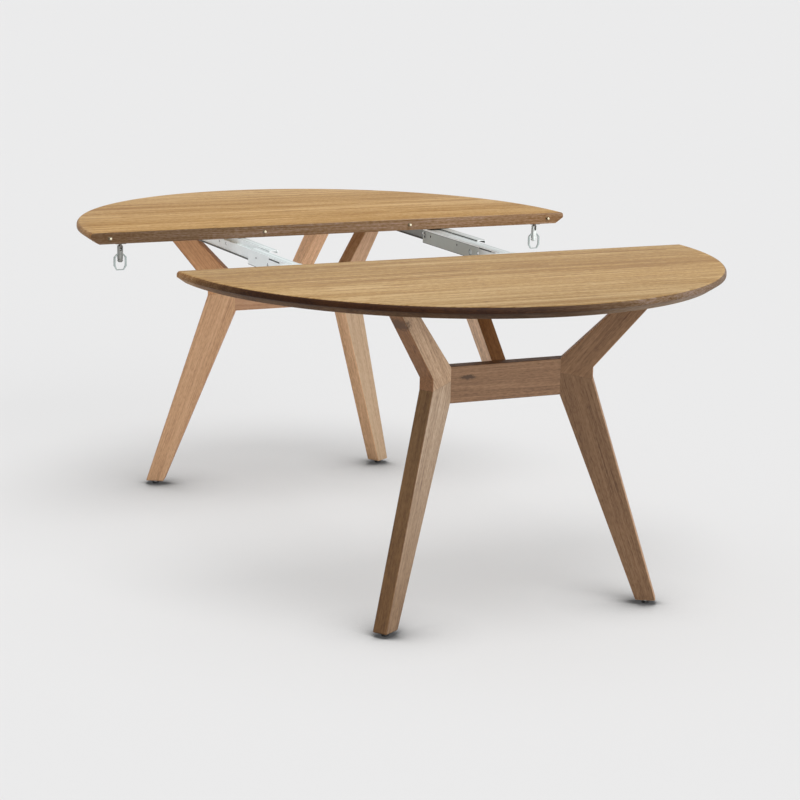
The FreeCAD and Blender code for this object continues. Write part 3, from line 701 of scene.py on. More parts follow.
    def _tone(self, graph: NodeGraph, grain: Grain, tone: BoardTone) -> Socket:
        """Paints light and shade onto the faces by the way they look.

        Args:
            graph: graph of the material.
            grain: the board's axes.
            tone: the painted light and shade.

        Returns:
            The tint's colour.
        """
        normal = graph.normal()
        across = graph.maths("ABSOLUTE", graph.vector("DOT_PRODUCT", normal, tuple(grain.thick)))
        edge = graph.remap(across, FADING.narrow_way, FADE, smooth=True)
        if tone.rim:
            normal, on_rim = self._rim(graph, normal, tone.rim)
            edge = graph.maths("MAXIMUM", edge, on_rim)
        tint = graph.mix(edge, self._near(graph, tone), rgba(tone.narrow))
        for facing in tone.facings:
            towards = graph.vector("DOT_PRODUCT", normal, facing.direction)
            share = graph.remap(towards, (facing.begins, facing.full), smooth=True)
            share = graph.maths("MULTIPLY", share, edge)
            tint = graph.mix(share, tint, self._faded(graph, facing))
        if tone.foot:
            low = graph.remap(graph.parts(graph.place())[2], FADING.foot_heights, FADE)
            tint = graph.tinted(tint, graph.mix(edge, rgba(tone.foot), rgba(tone.foot_edge)), low)
        return tint

    def _near(self, graph: NodeGraph, tone: BoardTone) -> object:
        """The tint of the broad faces, with painted shade that deepens at the foremost edge where the tone
        says so.

        Args:
            graph: graph of the material.
            tone: the tints.

        Returns:
            The tint, as a colour or a socket.
        """
        if tone.near_share == 1.0:
            return rgba(tone.broad)
        kept = graph.remap(graph.parts(graph.place())[1], FADING.near_depths, (tone.near_share, 1.0))
        return graph.tinted(rgba(tone.broad), kept)

    def _faded(self, graph: NodeGraph, facing: Facing) -> object:
        """The tint of a facing, with painted shade that deepens towards the left where it is one that fades.

        Args:
            graph: graph of the material.
            facing: the tint and its fade.

        Returns:
            The tint, as a colour or a socket.
        """
        if facing.left_share == 1.0:
            return rgba(facing.tint)
        whole = graph.remap(graph.parts(graph.place())[0], FADING.left_reach, (facing.left_share, 1.0))
        return graph.tinted(rgba(facing.tint), whole)


# ------------------------------------------------------------------ metal and nylon
@dataclass(frozen=True)
class Plating:
    """Where the masks of a metal part, which paint its shade, begin and end, in metres or in shares of a
    face's way.
    """

    sideways: Span = (0.6, 0.95)
    level: Span = (0.7, 0.95)
    downwards: Span = (-0.9, -0.6)
    top_fade: float = 0.0015
    near_fade: float = 0.09
    ridge: Span = (0.0007, 0.0016)
    ridge_depth: float = 0.42
    band_fade: float = 0.0003
    band_depth: float = 0.92
    hole_way: Span = (0.05, 0.20)
    hole_slant: Span = (0.9995, 0.9999)
    hole_depth: float = 0.8
    stain_fade: float = 0.0004
    stain_depth: float = 0.9
    drawn_share: float = 0.6
    cloud_share: float = 0.4


# Colour of the painted shade in the metal parts' dark bands, lines, hole walls and shaded ends.
PAINTED_SHADE: Colour = (0.045, 0.042, 0.038)
PLATING = Plating()


@dataclass(frozen=True)
class MetalFinish:
    """Plated or bare metal with a faint mottle and drawn lines.

    The web tint paints shade on the upright faces and the flat tint paints shade on the faces that look up,
    where the ridges, lines of painted shade, are too. The bands are heights of painted shade, and with them
    goes painted shade on the walls of punched holes. From the shaded depth on, faces are painted with shade
    too.
    """

    colour: Colour
    shade: Colour
    roughness: float
    metallic: float = 1.0
    lines: Triple = (900.0, 3.0, 900.0)
    mottle: float = 18.0
    web_tint: Colour = PLAIN
    web_top: float = 1.0
    web_near: float = -1.0
    flat_tint: Colour = PLAIN
    ridges: tuple[float, ...] = ()
    bands: tuple[Span, ...] = ()
    stained_from: float | None = None

    def material(self, name: str) -> bpy.types.Material:
        """Builds the metal.

        Args:
            name: material name.

        Returns:
            The material.
        """
        surface = Surface(name)
        graph = surface.graph
        place = graph.place()
        cloud = graph.noise(place, (self.mottle,) * 3, detail=3.0)
        drawn = graph.noise(place, self.lines, detail=2.0)
        amount = graph.remap(cloud, NOISE_SPAN, smooth=True)
        colour = graph.mix(amount, rgba(self.shade), rgba(self.colour))
        if self.web_tint != PLAIN:
            colour = graph.tinted(colour, rgba(self.web_tint), self._upright(graph, place))
        if self.flat_tint != PLAIN:
            colour = graph.tinted(colour, rgba(self.flat_tint), self._level(graph))
        # Painted shade laid on by each dark mask.
        for mask in self._dark_masks(graph, place):
            colour = graph.mix(mask, colour, rgba(PAINTED_SHADE))
        surface.feed("Base Color", colour)
        surface.feed("Metallic", self.metallic)
        uneven = graph.maths("ADD", graph.maths("MULTIPLY", drawn, PLATING.drawn_share),
                             graph.maths("MULTIPLY", cloud, PLATING.cloud_share))
        surface.roughen(uneven, self.roughness, less=0.07, more=0.07)
        surface.raise_relief(drawn, strength=0.05, distance=0.0001)
        return surface.material

    def _dark_masks(self, graph: NodeGraph, place: Socket) -> list[Socket]:
        """Masks of all the places that are painted dark with shade.

        Args:
            graph: graph of the material.
            place: place on the part.

        Returns:
            The masks, in the order that they are laid on.
        """
        masks = [graph.maths("MULTIPLY", self._level(graph), self._ridge(graph, place, ridge))
                 for ridge in self.ridges]
        masks += [self._greased(graph, place, band) for band in self.bands]
        if self.bands:
            masks.append(self._punched(graph))
        if self.stained_from is not None:
            depths = (self.stained_from, self.stained_from + PLATING.stain_fade)
            masks.append(graph.remap(graph.parts(place)[1], depths, (0.0, PLATING.stain_depth)))
        return masks

    def _upright(self, graph: NodeGraph, place: Socket) -> Socket:
        """Mask of the web tint's painted shade: 1 on faces that look sideways, fading near their top edge
        and their near end.

        Args:
            graph: graph of the material.
            place: place on the part.

        Returns:
            The mask.
        """
        sideways = graph.maths("ABSOLUTE", graph.parts(graph.normal())[0])
        mask = graph.remap(sideways, PLATING.sideways, smooth=True)
        _, depth, height = graph.parts(place)
        below = graph.remap(height, (self.web_top - PLATING.top_fade, self.web_top), FADE)
        beyond = graph.remap(depth, (self.web_near, self.web_near + PLATING.near_fade), smooth=True)
        return graph.maths("MULTIPLY", graph.maths("MULTIPLY", mask, below), beyond)

    def _level(self, graph: NodeGraph) -> Socket:
        """1 on faces that look up, 0 on the others."""
        return graph.remap(graph.parts(graph.normal())[2], PLATING.level, smooth=True)

    def _ridge(self, graph: NodeGraph, place: Socket, ridge: float) -> Socket:
        """A faint line of painted shade on the sheet, at one X.

        Args:
            graph: graph of the material.
            place: place on the part.
            ridge: the line's X.

        Returns:
            The mask.
        """
        away = graph.maths("ABSOLUTE", graph.maths("SUBTRACT", graph.parts(place)[0], ridge))
        return graph.remap(away, PLATING.ridge, (PLATING.ridge_depth, 0.0))

    def _greased(self, graph: NodeGraph, place: Socket, band: Span) -> Socket:
        """Near 1 between two heights, where painted shade darkens the metal, 0 elsewhere.

        Args:
            graph: graph of the material.
            place: place on the part.
            band: the two heights.

        Returns:
            The mask.
        """
        middle = (band[0] + band[1]) / 2
        half = (band[1] - band[0]) / 2
        away = graph.maths("ABSOLUTE", graph.maths("SUBTRACT", graph.parts(place)[2], middle))
        band_shade = graph.remap(away, (half, half + PLATING.band_fade), (PLATING.band_depth, 0.0))
        upwards = graph.parts(graph.normal())[2]
        return graph.maths("MULTIPLY", band_shade, graph.remap(upwards, PLATING.downwards))

    def _punched(self, graph: NodeGraph) -> Socket:
        """Near 1 on the walls of the holes that are punched through the web, where shade is painted, 0
        elsewhere.

        Args:
            graph: graph of the material.

        Returns:
            The mask.
        """
        across, along, upwards = (graph.maths("ABSOLUTE", part) for part in graph.parts(graph.normal()))
        walls = graph.remap(across, PLATING.hole_way, FADE)
        slanted = graph.remap(graph.maths("MAXIMUM", along, upwards), PLATING.hole_slant,
                              (PLATING.hole_depth, 0.0))
        return graph.maths("MULTIPLY", walls, slanted)


@dataclass(frozen=True)
class NylonFinish:
    """Moulded nylon with a fine grain."""

    colour: Colour
    worn: Colour
    roughness: float = 0.55
    scuff_waves: Triple = (90.0, 90.0, 90.0)
    grain_waves: Triple = (1800.0, 1800.0, 1800.0)
    scuff_span: Span = (0.52, 0.75)

    def material(self, name: str) -> bpy.types.Material:
        """Builds the plastic.

        Args:
            name: material name.

        Returns:
            The material.
        """
        surface = Surface(name)
        graph = surface.graph
        place = graph.place()
        scuffs = graph.noise(place, self.scuff_waves, detail=4.0, roughness=0.7)
        amount = graph.remap(scuffs, self.scuff_span)
        surface.feed("Base Color", graph.mix(amount, rgba(self.colour), rgba(self.worn)))
        surface.roughen(scuffs, self.roughness, less=0.08, more=0.1)
        fine = graph.noise(place, self.grain_waves, detail=1.0)
        surface.raise_relief(fine, strength=0.15, distance=0.0002)
        return surface.material


# ------------------------------------------------------------------ the finishes of this table
TOP_OAK = OakFinish(
    light=(0.600, 0.402, 0.200), middle=(0.424, 0.250, 0.084), dark=(0.262, 0.122, 0.027),
    streak_weight=1.15, streak_scale=(0.55, 25.0, 25.0), line_weight=1.25, ring_weight=0.22,
    fleck_weight=1.0, fibre_weight=0.8, stave_width=0.085, stave_tone=0.19, knots=0.30, gloss=0.14)
REAR_OAK = OakFinish(
    light=(0.560, 0.320, 0.180), middle=(0.450, 0.235, 0.120), dark=(0.270, 0.125, 0.060),
    ring_spacing=0.0026, ring_weight=0.05, streak_weight=0.45, streak_scale=(1.6, 48.0, 48.0),
    line_weight=0.42, fleck_weight=0.60, fibre_weight=0.7, knots=0.2)
FRONT_OAK = OakFinish(
    light=(0.460, 0.300, 0.190), middle=(0.350, 0.215, 0.125), dark=(0.190, 0.105, 0.060),
    ring_spacing=0.0026, ring_weight=0.05, streak_weight=0.42, streak_scale=(1.6, 48.0, 48.0),
    line_weight=0.50, fleck_weight=0.85, fibre_weight=0.9, knots=0.25)
BEECH = OakFinish(light=(0.72, 0.55, 0.36), middle=(0.64, 0.46, 0.28), dark=(0.50, 0.33, 0.19))
# Painted light and shade on the tops: SIDE_RIM darkens their rims and cut faces, the left rims and
# SHADED_RIM follow how light falls round the rim, CUT_FACE deepens the cut face's shade towards the left,
# and the near share shades the front top's foremost edge.
SIDE_RIM: Colour = (0.371, 0.387, 0.603)
FRONT_LEFT_RIM = Facing((-1.0, 0.0, 0.0), (1.05, 0.92, 0.88))
REAR_LEFT_RIM = Facing((-1.0, 0.0, 0.0), (0.66, 0.56, 0.46))
SHADED_RIM = Facing((-0.643, -0.766, 0.0), (0.063, 0.031, 0.011), begins=0.50, full=0.94)
CUT_FACE = Facing((0.0, -1.0, 0.0), (0.638, 0.645, 0.985), left_share=0.50)
TOP_TONES = {
    Half.REAR: BoardTone(broad=(0.899, 0.872, 0.803), narrow=SIDE_RIM,
                         facings=(REAR_LEFT_RIM, CUT_FACE), rim=Rim(CUT_EDGE)),
    Half.FRONT: BoardTone(broad=(0.992, 1.01, 0.996), narrow=SIDE_RIM,
                          facings=(FRONT_LEFT_RIM, SHADED_RIM), rim=Rim(-CUT_EDGE), near_share=0.80),
}
# The frames' tints paint the light and shade on each board's broad and narrow faces, and with it the board's
# own tone; the foot tints paint shade towards the floor.
REAR_TONES = {
    "left_leg": BoardTone((1.35, 1.54, 1.68), (1.31, 1.38, 1.5)),
    "right_leg": BoardTone((1.16, 1.52, 1.85), (1.59, 1.87, 2.07)),
    "left_arm": BoardTone((1.29, 1.3, 1.23), (0.95, 0.90, 0.85)),
    "right_arm": BoardTone((1.36, 1.61, 1.88), (1.06, 1.24, 1.42)),
    "brace_arm": BoardTone((1.86, 2.15, 2.28), (1.6, 1.8, 2.0)),
    "stretcher": BoardTone((0.965, 1.03, 1.11), (1.3, 1.3, 1.3)),
}
ARM_MARK = Mark((-0.308, -0.694, 0.676), (0.032, 0.032, 0.019), 0.72)
CRACK = Mark((-0.095, -0.6120, 0.534), (0.025, 0.03, 0.0062), 0.95)
FRONT_TONES = {
    "left_leg": BoardTone((1.18, 1.4, 1.65), (0.47, 0.412, 0.293),
                          foot=(0.57, 0.49, 0.41), foot_edge=(0.80, 0.74, 0.66)),
    "right_leg": BoardTone((0.493, 0.444, 0.381), (1.1, 1.05, 1.0)),
    "left_arm": BoardTone((1.31, 1.46, 1.61), (0.629, 0.485, 0.361), marks=(ARM_MARK,)),
    "right_arm": BoardTone((0.552, 0.492, 0.422), (1.1, 1.05, 1.0)),
    "brace_arm": BoardTone((2.25, 2.55, 2.95), (0.568, 0.433, 0.3)),
    "stretcher": BoardTone((0.641, 0.581, 0.521), (0.321, 0.272, 0.268), marks=(CRACK,)),
}
ZINC = MetalFinish(colour=(0.80, 0.82, 0.81), shade=(0.72, 0.75, 0.75), roughness=0.38, metallic=0.85)
# LEFT_ZINC and RIGHT_ZINC are lit and shaded copies of one zinc: the left runner's is painted lighter, the
# right runner's has painted shade on its webs below their top edge and beyond their near end, and both have
# painted shade on the faces that look up.
LEFT_ZINC = MetalFinish(colour=(0.96, 0.99, 0.99), shade=(0.88, 0.92, 0.92), roughness=0.45,
                        metallic=0.25, flat_tint=(0.78, 0.82, 0.82))
RIGHT_ZINC = MetalFinish(colour=(0.86, 0.89, 0.88), shade=(0.78, 0.81, 0.80), roughness=0.42, metallic=0.5,
                         web_tint=(0.48, 0.49, 0.46), web_top=0.7085, web_near=-0.04,
                         flat_tint=(0.78, 0.80, 0.80))
# Heights of the runners' painted shade bands, and X offsets of their painted shade lines.
TRACK_LOW: Span = (0.6778, 0.6812)
WEB_FOOT: Span = (0.6752, 0.6772)
WEB_HEAD: Span = (0.7072, 0.7080)
MIDDLE_RIDGES = (-0.0165, -0.0100, 0.0035)
REAR_RIDGES = (0.0145, 0.0290)


def runner_finishes(zinc: MetalFinish, middle: float, rear_web: Colour,
                    folds: tuple[Span, ...]) -> dict[str, MetalFinish]:
    """Finishes of a runner's three members: their painted shade differs, their zinc doesn't.

    Args:
        zinc: the runner's zinc.
        middle: X of the runner's middle.
        rear_web: painted shade on the rear member's web.
        folds: heights of the painted shade bands at the middle member's folds.

    Returns:
        A finish for each member.
    """
    return {
        "rear": replace(zinc, bands=(TRACK_LOW,), web_tint=rear_web, web_top=1.0, web_near=-1.0,
                        ridges=tuple(middle + step for step in REAR_RIDGES)),
        "middle": replace(zinc, bands=folds, ridges=tuple(middle + step for step in MIDDLE_RIDGES)),
        "front": zinc}


# The right runner's rear member has deep painted shade on its web.
RAIL_FINISHES = {
    Side.LEFT: runner_finishes(LEFT_ZINC, -RUNNER_X, PLAIN, (WEB_FOOT,)),
    Side.RIGHT: runner_finishes(RIGHT_ZINC, RUNNER_X, (0.30, 0.30, 0.29), (WEB_FOOT, WEB_HEAD)),
}
SCREW_ZINC = MetalFinish(colour=(0.72, 0.72, 0.70), shade=(0.58, 0.58, 0.57), roughness=0.3)
LATCH_LINES: Triple = (700.0, 700.0, 30.0)
LATCH_STEEL = MetalFinish(colour=(0.40, 0.45, 0.44), shade=(0.30, 0.34, 0.33), roughness=0.5,
                          lines=LATCH_LINES, mottle=60.0, metallic=0.5)
# LEFT_BARREL and RIGHT_BARREL are lit and shaded copies of one steel: the left barrel is painted dark with
# shade, the right barrel lighter, with painted shade on its sideways faces.
LEFT_BARREL = MetalFinish(colour=(0.262, 0.263, 0.245), shade=(0.25, 0.255, 0.24), roughness=0.4,
                          lines=LATCH_LINES, mottle=120.0, metallic=0.6)
RIGHT_BARREL = MetalFinish(colour=(0.86, 0.90, 0.88), shade=(0.78, 0.82, 0.80), roughness=0.35,
                           lines=LATCH_LINES, mottle=60.0, metallic=0.3, web_tint=(0.40, 0.42, 0.41))
DARK_STEEL = MetalFinish(colour=(0.16, 0.145, 0.13), shade=(0.10, 0.09, 0.08), roughness=0.5,
                         metallic=0.5)
NICKEL = MetalFinish(colour=(0.86, 0.85, 0.82), shade=(0.76, 0.75, 0.72), roughness=0.4, metallic=0.3)
BRASS = MetalFinish(colour=(0.86, 0.80, 0.62), shade=(0.76, 0.68, 0.48), roughness=0.28)
# The pins' brass takes painted shade at and behind the cut face, where they sit in their bores.
PIN_BRASS = replace(BRASS, stained_from=CUT_EDGE - 0.0010)
BLACK_NYLON = NylonFinish(colour=(0.018, 0.018, 0.018), worn=(0.05, 0.05, 0.048))
WHITE_NYLON = NylonFinish(colour=(0.72, 0.72, 0.70), worn=(0.55, 0.55, 0.53), roughness=0.45)


# ------------------------------------------------------------------ shared mesh helpers
def dress(node: str, material: bpy.types.Material) -> None:
    """Gives a CAD node its finish.

    Args:
        node: name of the node.
        material: its new material.
    """
    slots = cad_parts[node].data.materials
    slots.clear()
    slots.append(material)
    LOG.info("%s in %s", node, material.name)


def new_object(name: str, mesh: bpy.types.Mesh) -> bpy.types.Object:
    """Puts a mesh into the scene at the origin.

    Args:
        name: the object's name.
        mesh: its mesh.

    Returns:
        The object.
    """
    piece = bpy.data.objects.new(name, mesh)
    bpy.context.scene.collection.objects.link(piece)
    return piece


def mesh_of(name: str, shape: bmesh.types.BMesh) -> bpy.types.Mesh:
    """Writes a worked shape into a new mesh, and frees the shape.

    Args:
        name: the mesh's name.
        shape: the shape.

    Returns:
        The mesh.
    """
    mesh = bpy.data.meshes.new(name)
    shape.to_mesh(mesh)
    shape.free()
    return mesh


def settle(piece: bpy.types.Object, sharp_degrees: float = 35.0) -> bpy.types.Object:
    """Turns a piece with modifiers into a plain mesh with smooth and sharp edges.

    Args:
        piece: the object to settle.
        sharp_degrees: edges sharper than this stay sharp.

    Returns:
        A new object with the finished mesh.
    """
    evaluated = piece.evaluated_get(bpy.context.evaluated_depsgraph_get())
    mesh = bpy.data.meshes.new_from_object(evaluated)
    name = piece.name
    piece.name = name + "_source"
    bpy.data.objects.remove(piece)
    mesh.name = name
    mesh.shade_smooth()
    mesh.set_sharp_from_angle(angle=math.radians(sharp_degrees))
    return new_object(name, mesh)


class GeometryTree:
    """A Geometry Nodes tree with sizes and a finish as inputs, ready to be put on an object."""

    def __init__(self, name: str, sizes: dict[str, float]) -> None:
        """Builds the empty tree.

        Args:
            name: the tree's name.
            sizes: the number inputs by name, with the values that this object gives them.
        """
        self.tree = bpy.data.node_groups.new(name, "GeometryNodeTree")
        self.graph = NodeGraph(self.tree)
        self.sizes = sizes
        face = self.tree.interface
        face.new_socket("Geometry", in_out="INPUT", socket_type="NodeSocketGeometry")
        face.new_socket("Geometry", in_out="OUTPUT", socket_type="NodeSocketGeometry")
        kinds = {label: "NodeSocketFloat" for label in sizes} | {"Finish": "NodeSocketMaterial"}
        self.identifiers = {label: face.new_socket(label, in_out="INPUT", socket_type=kind).identifier
                            for label, kind in kinds.items()}
        self.inputs = self.graph.add("NodeGroupInput").outputs
        self.output = self.graph.add("NodeGroupOutput")

    def grid(self, columns: int, rows: int) -> tuple[Socket, Socket, Socket]:
        """Adds a grid that is to be bent.

        Args:
            columns: points along it.
            rows: points across it.

        Returns:
            The grid, a point's place along it from -0.5 to 0.5, and its climb across it from 0 to 1.
        """
        counts = {"Size X": 1.0, "Size Y": 1.0, "Vertices X": columns, "Vertices Y": rows}
        grid = self.graph.add("GeometryNodeMeshGrid", counts).outputs[0]
        along, across, _ = self.graph.parts(self.graph.add("GeometryNodeInputPosition").outputs[0])
        return grid, along, self.graph.maths("ADD", across, 0.5)

    def bend(self, grid: Socket, x: Socket, y: Socket, z: object) -> Socket:
        """Sets the points of a grid at new places, given as X, Y and Z."""
        bent = {"Geometry": grid, "Position": self.graph.joined(x, y, z)}
        return self.graph.add("GeometryNodeSetPosition", bent).outputs[0]

    def merge(self, geometry: Socket, distance: float) -> Socket:
        """Welds the points of a shape that lie together."""
        shape = {"Geometry": geometry, "Distance": distance}
        return self.graph.add("GeometryNodeMergeByDistance", shape).outputs[0]

    def join(self, shapes: list[Socket]) -> Socket:
        """Joins shapes into one.

        Args:
            shapes: the shapes.

        Returns:
            All of them together.
        """
        join = self.graph.add("GeometryNodeJoinGeometry")
        for shape in shapes:
            self.tree.links.new(shape, join.inputs[0])
        return join.outputs[0]

    def finish(self, geometry: Socket) -> None:
        """Ends the tree: instances are made real and the finish is set.

        Args:
            geometry: the geometry to hand out.
        """
        real = self.graph.add("GeometryNodeRealizeInstances", {0: geometry}).outputs[0]
        finish = {"Geometry": real, "Material": self.inputs["Finish"]}
        dressed = self.graph.add("GeometryNodeSetMaterial", finish)
        self.graph.feed(self.output.inputs[0], dressed.outputs[0])

    def put_on(self, piece: bpy.types.Object, finish: bpy.types.Material) -> None:
        """Adds the tree to an object, with its sizes.

        Args:
            piece: the object.
            finish: the object's material.
        """
        modifier = piece.modifiers.new(self.tree.name, "NODES")
        modifier.node_group = self.tree
        for label, size in self.sizes.items():
            modifier[self.identifiers[label]] = size
        modifier[self.identifiers["Finish"]] = finish


# ------------------------------------------------------------------ table tops
class Shell(Enum):
    """The four shells that close a half-round board."""

    RIM = 1
    CUT = 2
    UPPER = 3
    LOWER = 4

    @property
    def upright(self) -> bool:
        """Whether the shell climbs along the rim's section."""
        return self in (Shell.RIM, Shell.CUT)

    @property
    def flipped(self) -> bool:
        """Whether the bent grid looks inwards, so that its faces are turned."""
        return self in (Shell.CUT, Shell.UPPER)


@dataclass
class HalfTop:
    """Half-round top board: an arc of rim closed by two flats and the cut face."""

    half: Half
    radius: float = 0.650
    rim_round: float = 0.008
    nose_drop: float = 0.013
    bevel_run: float = 0.022
    nose_share: Span = (0.38, 0.54)
    arc_steps: int = 241
    rim_steps: int = 25
    weld: float = 0.00002
    edge_ease: float = 0.0012
    eased_over: float = 33.0
    sharp_over: float = 30.0
    bore_places: tuple[float, ...] = (-0.602, -0.200, 0.200, 0.602)
    bore_height: float = 0.731
    pin_bore: tuple[float, float] = (0.004, 0.020)
    bush_bore: tuple[float, float] = (0.005, 0.018)
    bore_sides: int = 32
    figure_along: float = 0.35
    figure_across: tuple[float, float] = (0.020, 0.047)
    pith: float = 0.075

    def build(self) -> bpy.types.Object:
        """Makes and dresses the board.

        Returns:
            The finished board.
        """
        board = new_object(f"{self.half.word}_top_board", bpy.data.meshes.new("board"))
        self.rim_tree().put_on(board, TOP_OAK.material(f"oak_{self.half.word}_top", self.grain(),
                                                       TOP_TONES[self.half]))
        board = self.bored(settle(board))
        ease = board.modifiers.new("ease", "BEVEL")
        ease.width = self.edge_ease
        ease.segments = 2
        ease.limit_method = "ANGLE"
        ease.angle_limit = math.radians(self.eased_over)
        board = settle(board, self.sharp_over)
        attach(board, self.half.body)
        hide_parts(f"{self.half.word}_top")
        return board

    def grain(self) -> Grain:
        """Lays the grain along the cut, with a shift that gives each half staves of its own.

        Returns:
            The board's axes.
        """
        across = self.figure_across[0 if self.half is Half.REAR else 1]
        corner = Vector((0.0, self.half.value * CUT_EDGE, TABLE_HEIGHT))
        return Grain(origin=corner + Vector((self.figure_along, across, 0.0)),
                     along=Vector((1, 0, 0)), thick=Vector((0, 0, 1)), pith=self.pith)

    def rim_tree(self) -> GeometryTree:
        """Tree that bends a grid into the rim and closes it with flats and a cut face.

        Returns:
            The tree.
        """
        tree = GeometryTree("half_round_board", {
            "Radius": self.radius, "Round": self.rim_round, "Nose drop": self.nose_drop,
            "Bevel run": self.bevel_run, "Cut place": self.half.value * CUT_EDGE,
            "Start angle": 0.0 if self.half is Half.REAR else math.pi})
        shells = tree.join([self._shell(tree, part) for part in Shell])
        tree.finish(tree.merge(shells, self.weld))
        return tree

    def _shell(self, tree: GeometryTree, part: Shell) -> Socket:
        """One face of the board as a grid set in place by a rule.

        Args:
            tree: the tree under way.
            part: the face.

        Returns:
            The placed grid.
        """
        graph = tree.graph
        grid, along, climb = tree.grid(self.arc_steps, self.rim_steps if part.upright else 2)
        angle = graph.maths("MULTIPLY_ADD", graph.maths("ADD", along, 0.5), math.pi,
                            tree.inputs["Start angle"])
        share: object = 1.0
        if part.upright:
            reach, height = self._rim_line(tree, climb)
            share = 1.0 if part is Shell.RIM else 0.0
        else:
            edge = "Round" if part is Shell.UPPER else "Bevel run"
            reach = graph.maths("SUBTRACT", tree.inputs["Radius"], tree.inputs[edge])
            height = TABLE_HEIGHT if part is Shell.UPPER else UNDERSIDE
            share = climb
        x, out = graph.polar(reach, angle)
        y = graph.maths("ADD", graph.maths("MULTIPLY", out, share), tree.inputs["Cut place"])
        shell = tree.bend(grid, x, y, height)
        if part.flipped:
            shell = graph.add("GeometryNodeFlipFaces", {0: shell}).outputs[0]
        return shell

    def _rim_line(self, tree: GeometryTree, climb: Socket) -> tuple[Socket, Socket]:
        """The rim's section: under-bevel, nose and round-over.

        Args:
            tree: the tree under way.
            climb: 0 at the underside to 1 at the top face.

        Returns:
            Reach from the middle and height.
        """
        graph = tree.graph
        low, high = self.nose_share
        bevel = graph.remap(climb, (0.0, low))
        nose = graph.remap(climb, (low, high))
        arc = graph.maths("MULTIPLY", graph.remap(climb, (high, 1.0)), math.pi / 2)
        lost = graph.maths("MULTIPLY", graph.maths("SUBTRACT", 1.0, graph.maths("COSINE", arc)),
                           tree.inputs["Round"])
        under = graph.maths("SUBTRACT", 1.0, bevel)
        inset = graph.maths("MULTIPLY_ADD", under, tree.inputs["Bevel run"], lost)
        reach = graph.maths("SUBTRACT", tree.inputs["Radius"], inset)
        nose_height = graph.maths("SUBTRACT", TABLE_HEIGHT, tree.inputs["Nose drop"])
        rise = graph.maths("MULTIPLY", bevel, graph.maths("SUBTRACT", nose_height, UNDERSIDE))
        wall = graph.maths("MULTIPLY", nose, graph.maths("SUBTRACT", tree.inputs["Nose drop"],
                                                         tree.inputs["Round"]))
        crown = graph.maths("MULTIPLY", graph.maths("SINE", arc), tree.inputs["Round"])
        height = graph.maths("ADD", graph.maths("ADD", graph.maths("ADD", rise, wall), crown), UNDERSIDE)
        return reach, height

    def bored(self, board: bpy.types.Object) -> bpy.types.Object:
        """Sinks the four holes of the pins or the bushes into the cut face.

        Args:
            board: the plain board.

        Returns:
            The bored board.
        """
        radius, depth = self.pin_bore if self.half is Half.REAR else self.bush_bore
        shape = bmesh.new()
        for x in self.bore_places:
            middle = Matrix.Translation((x, self.half.value * CUT_EDGE, self.bore_height))
            turn = Matrix.Rotation(math.pi / 2, 4, "X")
            bmesh.ops.create_cone(shape, cap_ends=True, segments=self.bore_sides, radius1=radius,
                                  radius2=radius, depth=2 * depth, matrix=middle @ turn)
        cutter = new_object("bores", mesh_of("bores", shape))
        cut = board.modifiers.new("bores", "BOOLEAN")
        cut.operation = "DIFFERENCE"
        cut.solver = "EXACT"
        cut.object = cutter
        board = settle(board)
        bpy.data.objects.remove(cutter)
        return board


# ------------------------------------------------------------------ timber frames
@dataclass
class TimberFrame:
    """Two mitred legs, a stretcher and a brace arm under one half.

    Reaches are counted outwards from the knee's inner edge, insets inwards from the leg's plane.
    """

    half: Half
    finish: OakFinish
    tones: dict[str, BoardTone]
    knee_reach: float = 0.036
    foot_reach: float = 0.212
    head_reach: float = 0.187
    knee_height: float = 0.522
    foot_height: float = 0.0096
    mitre_height: float = 0.5275
    mitre_run: float = 0.0725
    mitre_drop: float = 0.011
    stretcher_half: float = 0.14
    stretcher_inset: float = 0.0155
    stretcher_height: float = 0.519
    brace_inset: float = 0.0309
    brace_head: float = 0.3975
    pith: float = 0.06
    figure_step: float = 0.013
    figure_steps: int = 5

    def build(self) -> None:
        """Dresses the boards, each with the grain along its own length."""
        for side in Side:
            outwards, through, root = leg_plane(self.half, side)
            knee = root + outwards * self.knee_reach + lifted(self.knee_height)
            foot = root + outwards * self.foot_reach + lifted(self.foot_height)
            head = root + outwards * self.head_reach + lifted(UNDERSIDE)
            slope = (outwards * self.mitre_run - lifted(self.mitre_drop)).normalized()
            mitre = Seam(tuple(root + lifted(self.mitre_height)), tuple(through.cross(slope)))
            self.board(f"{side.word}_leg", knee, foot, through, (mitre,))
            self.board(f"{side.word}_arm", knee, head, through)
        inner = self.half.value * (KNEE.y - self.stretcher_inset)
        ends = (Vector((sign * self.stretcher_half, inner, self.stretcher_height)) for sign in (-1, 1))
        self.board("stretcher", *ends, Vector((0, 1, 0)))
        self.board("brace_arm", Vector((0, self.half.value * (KNEE.y - self.brace_inset), self.knee_height)),
                   Vector((0, self.half.value * self.brace_head, UNDERSIDE)), Vector((1, 0, 0)))
        upright = Grain(Vector(), Vector((0, 0, 1)), Vector((1, 0, 0)))
        beech = BEECH.material(f"beech_{self.half.word}", upright)
        dress(f"{self.half.word}_mitre_dowels", beech)
        dress(f"{self.half.word}_stretcher_dowels", beech)

    def board(self, name: str, start: Vector, end: Vector, thick: Vector,
              seams: tuple[Seam, ...] = ()) -> None:
        """Dresses one board.

        Args:
            name: the board's name in its half.
            start: one end of its middle line.
            end: the other end.
            thick: direction through its thickness.
            seams: glue lines across it.
        """
        node = f"{self.half.word}_{name}"
        shift = lifted(self.figure_step * (len(node) % self.figure_steps))
        grain = Grain(origin=start + shift, along=(end - start).normalized(), thick=thick, pith=self.pith)
        dress(node, self.finish.material(f"oak_{node}", grain, self.tones[name], seams))


